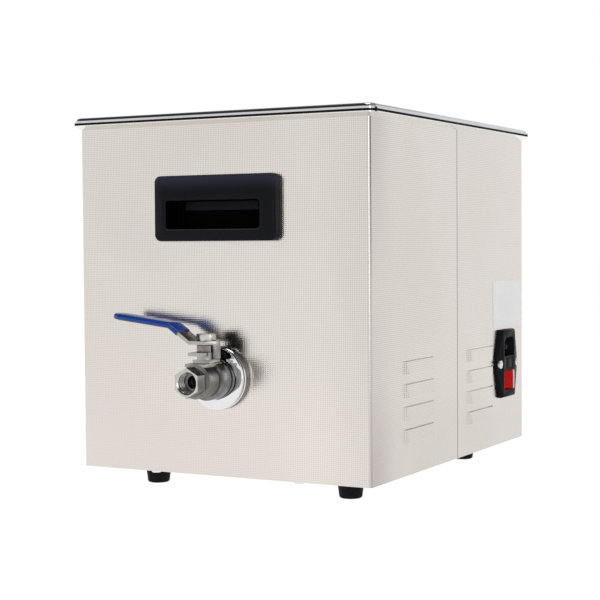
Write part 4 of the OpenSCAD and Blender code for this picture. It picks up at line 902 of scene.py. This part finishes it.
class CLEANER_OT_drain_valve(CleanerOperator, bpy.types.Operator):
    """Cast drain valve with its thread, disc, gland and lever"""

    bl_idname = "cleaner.drain_valve"
    bl_label = "Drain valve"

    # The near-black steel in these lists is painted shade, on rear faces and the disc's rim band
    PIECES = (
        (
            "valve_body", ROOT_BODY, "cast_steel",
            "cast_steel", "machined_steel", "pressed_steel", "raw_steel",
        ),
        ("valve_end", ROOT_BODY, "cast_steel", "cast_steel"),
        ("gland_nut", ROOT_BODY, "cast_steel", "cast_steel", "raw_steel"),
        ("drain_escutcheon", ROOT_BODY, "mirror_steel", "mirror_steel", "cast_steel", "raw_steel"),
        ("valve_lever", LEVER_BODY, "cast_steel", "pressed_steel", "raw_steel"),
        ("lever_nut", LEVER_BODY, "cast_steel", "machined_steel", "raw_steel"),
    )
    BARREL_R = 13.0 * MM
    SHOULDER_R = 15.5 * MM
    TURNED_ERROR = 0.06 * MM
    OUTWARD = 0.99
    PAD_REACH = (-8.0 * MM, 16.3 * MM)
    PAD_FOOT = 10.3 * MM
    MOUTH = 1.2
    BORE_END = 0.1 * MM
    REARWARD = -0.3
    RIM_UPRIGHT = 0.5
    RIM_BAND = 0.40
    RIM_SHADE_END = 0.70
    RIDGE_SUNK = 0.2
    RIDGE_R = 0.62

    def paint_rear_shade(self, piece):
        """A piece's last finish, a near-black painted shade, on its faces towards the housing."""
        for face in piece.data.polygons:
            if face.normal.x < self.REARWARD:
                face.material_index = len(piece.data.materials) - 1

    def line_rim(self, disc, node):
        """Cast rear band round the disc's rim, and in front of it a near-black band of painted shade."""
        low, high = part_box(node)
        for face in disc.data.polygons:
            part = (face.center.x - low.x) / (high.x - low.x)
            if abs(face.normal.x) < self.RIM_UPRIGHT and part < self.RIM_SHADE_END:
                face.material_index = 1 if part < self.RIM_BAND else 2

    def machine(self, mesh, axis, bore_r, bore_l, stem_x):
        """Bright faces in the outlet's bore and round its mouth, and paler ones on the neck and its pad."""
        low, high = self.PAD_REACH
        for face in mesh.polygons:
            spot = face.center - axis
            off = math.hypot(spot.y, spot.z)
            near_stem = low < face.center.x - stem_x < high and spot.z > self.PAD_FOOT
            outward = (face.normal.y * spot.y + face.normal.z * spot.z) > self.OUTWARD * off
            step = min(abs(off - self.SHOULDER_R), abs(off - self.BARREL_R))
            turned = outward and step < self.TURNED_ERROR
            if off < bore_r * self.MOUTH and spot.x > self.BORE_END - bore_l / 2:
                face.material_index = 1
            elif near_stem and not turned:
                face.material_index = 2

    def build(self, scene):
        sizes = scene.cleaner_sizes
        pieces = {
            node: soft_copy(node, body, slot, sizes.metal_edge, *finishes)
            for node, body, slot, *finishes in self.PIECES
        }
        self.line_rim(pieces["drain_escutcheon"], "drain_escutcheon")
        mount = next(m for m in frame["record"]["mounts"] if m["name"] == "drain_outlet")
        bore_r = mount["dims"]["r_mm"] * MM
        bore_l = mount["dims"]["length_mm"] * MM
        thread_l = bore_l - 2 * sizes.thread_depth
        middle = Vector(mount["pos_m"])
        start = middle - Vector((thread_l / 2, 0, 0))
        stem = next(j for j in frame["joints"] if j["name"] == "lever_turn")
        self.machine(pieces["valve_body"].data, middle, bore_r, bore_l, stem["pos_m"][0])
        for node in ("valve_body", "gland_nut", "valve_lever", "lever_nut"):
            self.paint_rear_shade(pieces[node])
        inputs = {
            "Radius": bore_r + self.RIDGE_SUNK * sizes.thread_depth,
            "Turns": thread_l / sizes.thread_pitch,
            "Length": thread_l,
            "Depth": sizes.thread_depth * self.RIDGE_R,
        }
        thread = from_nodes("outlet_thread", thread_tree(), [tuple(start)], inputs, "machined_steel")
        attach(thread, ROOT_BODY)


class CLEANER_OT_lever_sleeve(CleanerOperator, bpy.types.Operator):
    """Dipped soft sleeve over the lever's grip"""

    bl_idname = "cleaner.lever_sleeve"
    bl_label = "Lever sleeve"

    AROUND = 28
    BEND_R = 6 * MM
    BEND_STEPS = 8
    HALF_T = 2.6 * MM
    RAMP = Vector((18.5, 12.8))
    RUN = Vector((51.5, 6.2))
    RUN_STEPS = 12
    COVERED = 0.42
    CAP_STEPS = 10
    TIP_W = 0.06
    TIP_T = 0.35
    FLARE = 0.06
    FLARE_FADE = 2.2
    SQUARE_W = 0.55
    SQUARE_T = 0.75
    SMOOTH_DEG = 50.0

    def path(self, reach):
        """Points along the sleeve's middle in the lever's own plane: out along the lever, and up."""
        slope = self.RAMP.normalized()
        run = self.RUN.normalized()
        knee = slope * self.RAMP.length * self.COVERED * MM
        bend = self.BEND_R * math.tan(math.acos(slope.dot(run)) / 2)
        first, last = knee - slope * bend, knee + run * bend
        points = [Vector((0, 0))]
        for i in range(self.BEND_STEPS + 1):
            t = i / self.BEND_STEPS
            points.append(first * (1 - t) ** 2 + knee * 2 * t * (1 - t) + last * t ** 2)
        tip = knee + run * ((reach - knee.x) / run.x)
        for i in range(self.RUN_STEPS):
            points.append(last.lerp(tip, (i + 1) / self.RUN_STEPS))
        return points

    def stations(self, reach, half_w):
        """Points along the sleeve with its share of the full width there, round at the tip."""
        points = self.path(reach)
        tip = points[-1]
        run = (tip - points[-2]).normalized()
        cap_from = tip - run * half_w
        made = [(p, 1.0) for p in points if (p - cap_from).dot(run) < 0]
        for i in range(self.CAP_STEPS + 1):
            turn = math.pi / 2 * i / self.CAP_STEPS
            made.append((cap_from + run * half_w * math.sin(turn), max(math.cos(turn), self.TIP_W)))
        return made

    def build(self, scene):
        low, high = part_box("lever_sleeve")
        half_w = (high.x - low.x) / 2
        middle_x = (low.x + high.x) / 2
        slope = self.RAMP.normalized()
        start = Vector((slope.y, slope.x)) * self.HALF_T
        stations = self.stations(high.y - low.y - start.x, half_w)
        loops = []
        for index, (point, share) in enumerate(stations):
            before = stations[max(index - 1, 0)][0]
            after = stations[min(index + 1, len(stations) - 1)][0]
            along = (after - before).normalized()
            normal = Vector((-along.y, along.x))
            flare = 1 + self.FLARE * math.exp(-index * self.FLARE_FADE)
            thick = self.HALF_T * flare * (self.TIP_T + (1 - self.TIP_T) * math.sqrt(share))
            wide = half_w * share
            ring = []
            for k in range(self.AROUND):
                turn = 2 * math.pi * k / self.AROUND
                c, s = math.cos(turn), math.sin(turn)
                across = math.copysign(abs(c) ** self.SQUARE_W, c) * wide
                up = math.copysign(abs(s) ** self.SQUARE_T, s) * thick
                flat = start + point + normal * up
                ring.append(Vector((middle_x + across, high.y - flat.x, low.z + flat.y)))
            loops.append(ring)
        bm = bmesh.new()
        loft(bm, loops)
        piece = mesh_piece("lever_sleeve_dipped", bm, "blue_vinyl", smooth_deg=self.SMOOTH_DEG)
        attach(piece, LEVER_BODY, "lever_sleeve")


class CLEANER_OT_mains_inlet(CleanerOperator, bpy.types.Operator):
    """Mains inlet with its switch and fuse drawer"""

    bl_idname = "cleaner.mains_inlet"
    bl_label = "Mains inlet"

    DRAWER_EDGE = 0.6

    def build(self, scene):
        edge = scene.cleaner_sizes.plastic_edge
        soft_copy("inlet_housing", ROOT_BODY, "black_plastic", edge, "inlet_plastic")
        soft_copy("fuse_drawer", "fuse_tray", "black_plastic", edge * self.DRAWER_EDGE, "inlet_plastic")
        soft_copy("rocker", "power_rocker", "red_plastic", edge, "rocker_plastic")


class CLEANER_OT_screws(CleanerOperator, bpy.types.Operator):
    """Cross-head screws of the inlet and of the base"""

    bl_idname = "cleaner.screws"
    bl_label = "Screws"

    HEAD_R = 3.8 * MM
    HEAD_H = 2.2 * MM
    SHANK_R = 2 * MM
    SETS = (
        ("inlet_screw_heads", "inlet_screws", (0, 1, 0), 6 * MM, "polished_steel", "screw_steel"),
        ("base_screw_heads", "base_screws", (0, 0, -1), 5 * MM, "plain_steel", "plain_steel"),
    )

    def build(self, scene):
        tree = screw_tree()
        for name, node, way, shank, slot, material in self.SETS:
            way = Vector(way)
            points = [
                (low + high) / 2 + way * (abs((high - low).dot(way)) / 2 - self.HEAD_H)
                for low, high in islands(node)
            ]
            recess = scene.cleaner_sizes.recess_depth
            shape = cross_head(self.HEAD_R, self.HEAD_H, self.SHANK_R, shank, recess)
            template = mesh_piece(name + "_shape", shape, material)
            piece = from_nodes(name, tree, points, {"Screw": template, "Direction": tuple(way)}, material)
            bpy.data.objects.remove(template)
            attach(piece, ROOT_BODY, node)


class CLEANER_OT_controls(CleanerOperator, bpy.types.Operator):
    """Control panel with its buttons, their marks and the display digits"""

    bl_idname = "cleaner.controls"
    bl_label = "Controls"

    MARKS = ("up", "down", "up", "down", "round", "square")
    MARK_PLANS = {
        "up": ((-1, -0.6), (1, -0.6), (0, 0.9)),
        "down": ((-1, 0.6), (0, -0.9), (1, 0.6)),
        "square": ((-1, -1), (1, -1), (1, 1), (-1, 1)),
        "round": [(math.cos(math.pi / 12 * i), math.sin(math.pi / 12 * i)) for i in range(24)],
    }
    MARK_SIZE = 2 * MM
    MARK_DEPTHS = (0.3 * MM, -0.03 * MM)
    BUTTON_STEPS = 3
    WINDOW_W = 56 * MM
    DIGIT_PITCH = 0.95
    BAR_L = 0.43
    BAR_W = 0.1
    BAR_T = 0.06 * MM
    BAR_RAISED = 0.01 * MM

    def build(self, scene):
        edge = scene.cleaner_sizes.plastic_edge
        soft_copy("control_panel", ROOT_BODY, "panel_plastic", edge, "panel_plastic")
        for i, kind in enumerate(self.MARKS, 1):
            node = f"button_{i}"
            body = "press_" + node
            soft_copy(node, body, "button_plastic", edge, "button_plastic", segments=self.BUTTON_STEPS)
            low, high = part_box(node)
            middle = (low + high) / 2
            bm = bmesh.new()
            plan = [(u * self.MARK_SIZE, v * self.MARK_SIZE) for u, v in self.MARK_PLANS[kind]]
            loft(bm, [
                [(middle.x + u, low.y + out, middle.z + v) for u, v in plan] for out in self.MARK_DEPTHS
            ])
            attach(mesh_piece(node + "_mark", bm, "mark_print"), body)
        self.digits(scene.cleaner_sizes)

    def digits(self, sizes):
        """Unlit seven-segment digits on both display windows."""
        low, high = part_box("display_windows")
        middle_z = (low.z + high.z) / 2
        front_y = low.y - self.BAR_RAISED
        tall = sizes.digit_height
        points, angles = [], []
        for window_x in (low.x + self.WINDOW_W / 2, high.x - self.WINDOW_W / 2):
            for i in range(sizes.digits):
                x = window_x + (i - (sizes.digits - 1) / 2) * tall * self.DIGIT_PITCH
                for z in (-tall / 2, 0.0, tall / 2):
                    points.append((x, front_y, middle_z + z))
                    angles.append(0.0)
                for side in (-1, 1):
                    for z in (-tall / 4, tall / 4):
                        points.append((x + side * tall / 4, front_y, middle_z + z))
                        angles.append(math.pi / 2)
        bar = {"Length": tall * self.BAR_L, "Width": tall * self.BAR_W, "Thickness": self.BAR_T}
        piece = from_nodes(
            "display_segments", segment_tree(), points, bar, "unlit_segment", {"angle": angles}
        )
        attach(piece, ROOT_BODY)


class CLEANER_OT_feet(CleanerOperator, bpy.types.Operator):
    """Four rubber feet"""

    bl_idname = "cleaner.feet"
    bl_label = "Feet"

    def build(self, scene):
        for node in ("foot_front_left", "foot_front_right", "foot_back_left", "foot_back_right"):
            soft_copy(node, ROOT_BODY, "black_rubber", scene.cleaner_sizes.plastic_edge, "black_rubber")


class CLEANER_OT_stage(CleanerOperator, bpy.types.Operator):
    """Pale floor, surroundings and soft lights"""

    bl_idname = "cleaner.stage"
    bl_label = "Stage"

    FLOOR_SIZE = 15.0
    FLOOR_GLOW = 0.94
    FLOOR_SEEN = (0.15, 0.15, 0.15, 1.0)
    FLOOR_PAPER = (0.8, 0.8, 0.8, 1.0)
    DRAIN_SIDE = (0.883, -0.469, 0.0)
    OVERHEAD_FROM = (0.30, 0.50)
    OVERHEAD = ((-0.3, 0.3), (0.33, 0.04))
    FLAG_SIDE = (-0.375, 0.927, 0.0)
    FLAG = ((0.93, 0.97), (1.0, 0.08))
    UNSEEN_GLOW = 1.3

    def seen(self, tree):
        """1 where the camera, a reflection or clear material looks."""
        rays = add_node(tree, "ShaderNodeLightPath")
        both = calc(tree, "MAXIMUM", rays["Is Camera Ray"], rays["Is Glossy Ray"])
        return calc(tree, "MAXIMUM", both, rays["Is Transmission Ray"])

    def build(self, scene):
        stage = scene.cleaner_stage
        self.floor()
        self.surroundings()
        for name, place, aim, size, power in (
            ("top_light", (0.15, 0.1, 2.0), (0.1, 0.05, 0.15), (0.9, 0.9), stage.top_power),
            ("front_light", (1.5, 1.5, 0.6), (0.1, 0.1, 0.15), (0.5, 1.2), stage.front_power),
        ):
            lamp = bpy.data.lights.new(name, "AREA")
            lamp.shape = "RECTANGLE"
            lamp.size, lamp.size_y = size
            lamp.energy = power
            light = add_object(name, lamp)
            light.location = place
            way = Vector(aim) - Vector(place)
            light.rotation_euler = way.to_track_quat("-Z", "Y").to_euler()
        scene.view_settings.view_transform = "Standard"

    def floor(self):
        """Large pale floor that keeps a faint shadow."""
        bm = bmesh.new()
        bmesh.ops.create_grid(bm, x_segments=1, y_segments=1, size=self.FLOOR_SIZE)
        mesh = bpy.data.meshes.new("floor")
        bm.to_mesh(mesh)
        bm.free()
        material = bpy.data.materials.new("floor_paint")
        material.use_nodes = True
        tree = material.node_tree
        tree.nodes.clear()
        seen = self.seen(tree)
        tone = mix_colour(tree, seen, self.FLOOR_PAPER, self.FLOOR_SEEN)
        paint = add_node(tree, "ShaderNodeBsdfDiffuse", {"Color": tone})[0]
        strength = calc(tree, "MULTIPLY", seen, self.FLOOR_GLOW)
        glow = add_node(tree, "ShaderNodeEmission", {"Strength": strength})[0]
        both = add_node(tree, "ShaderNodeAddShader", {0: paint, 1: glow})[0]
        add_node(tree, "ShaderNodeOutputMaterial", {"Surface": both})
        mesh.materials.append(material)
        floor = add_object("floor", mesh)

    def surroundings(self):
        """White surroundings, dark overhead on the drain's side and behind one upright flag."""
        world = bpy.data.worlds.new("surroundings")
        world.use_nodes = True
        bpy.context.scene.world = world
        tree = world.node_tree
        tree.nodes.clear()
        way = add_node(tree, "ShaderNodeTexCoord")["Generated"]

        def towards(side):
            inputs = {0: way, 1: side}
            return add_node(tree, "ShaderNodeVectorMath", inputs, operation="DOT_PRODUCT")[1]

        overhead = ramp(tree, towards(self.DRAIN_SIDE), *self.OVERHEAD)
        share = ramp(tree, axes(tree, way)["Z"], self.OVERHEAD_FROM)
        tone = calc(tree, "ADD", calc(tree, "SUBTRACT", 1.0, share), calc(tree, "MULTIPLY", share, overhead))
        tone = calc(tree, "MULTIPLY", tone, ramp(tree, towards(self.FLAG_SIDE), *self.FLAG))
        rays = add_node(tree, "ShaderNodeLightPath")
        tone = calc(tree, "MAXIMUM", tone, rays["Is Camera Ray"])
        strength = rescale(tree, self.seen(tree), self.UNSEEN_GLOW, 1.0)
        back = add_node(tree, "ShaderNodeBackground", {"Color": tone, "Strength": strength})[0]
        add_node(tree, "ShaderNodeOutputWorld", {"Surface": back})


class CLEANER_PT_sidebar(bpy.types.Panel):
    """Sizes and colours, and the steps that build the cleaner"""

    bl_idname = "CLEANER_PT_sidebar"
    bl_label = "Ultrasonic Cleaner"
    bl_space_type = "VIEW_3D"
    bl_region_type = "UI"
    bl_category = "Cleaner"

    def draw(self, context):
        for group in ("cleaner_finishes", "cleaner_sizes", "cleaner_stage"):
            settings = getattr(context.scene, group)
            for name in settings.__annotations__:
                self.layout.prop(settings, name)
        for step in STEPS:
            self.layout.operator(step.bl_idname)


STEPS = (
    CLEANER_OT_camera,
    CLEANER_OT_finishes,
    CLEANER_OT_handles,
    CLEANER_OT_drain_valve,
    CLEANER_OT_lever_sleeve,
    CLEANER_OT_mains_inlet,
    CLEANER_OT_screws,
    CLEANER_OT_controls,
    CLEANER_OT_feet,
    CLEANER_OT_stage,
)
SETTINGS = {
    "cleaner_finishes": CleanerFinishes,
    "cleaner_sizes": CleanerSizes,
    "cleaner_stage": CleanerStage,
}
CLASSES = (*SETTINGS.values(), *STEPS, CLEANER_PT_sidebar)


def register():
    """Add the classes and the scene's settings."""
    for cls in CLASSES:
        bpy.utils.register_class(cls)
    for name, kind in SETTINGS.items():
        setattr(bpy.types.Scene, name, PointerProperty(type=kind))


def unregister():
    """Remove the settings and the classes."""
    for name in SETTINGS:
        delattr(bpy.types.Scene, name)
    for cls in reversed(CLASSES):
        bpy.utils.unregister_class(cls)


def main():
    """Build the whole cleaner."""
    register()
    for step in STEPS:
        group, name = step.bl_idname.split(".")
        getattr(getattr(bpy.ops, group), name)()


if __name__ == "__main__":
    main()
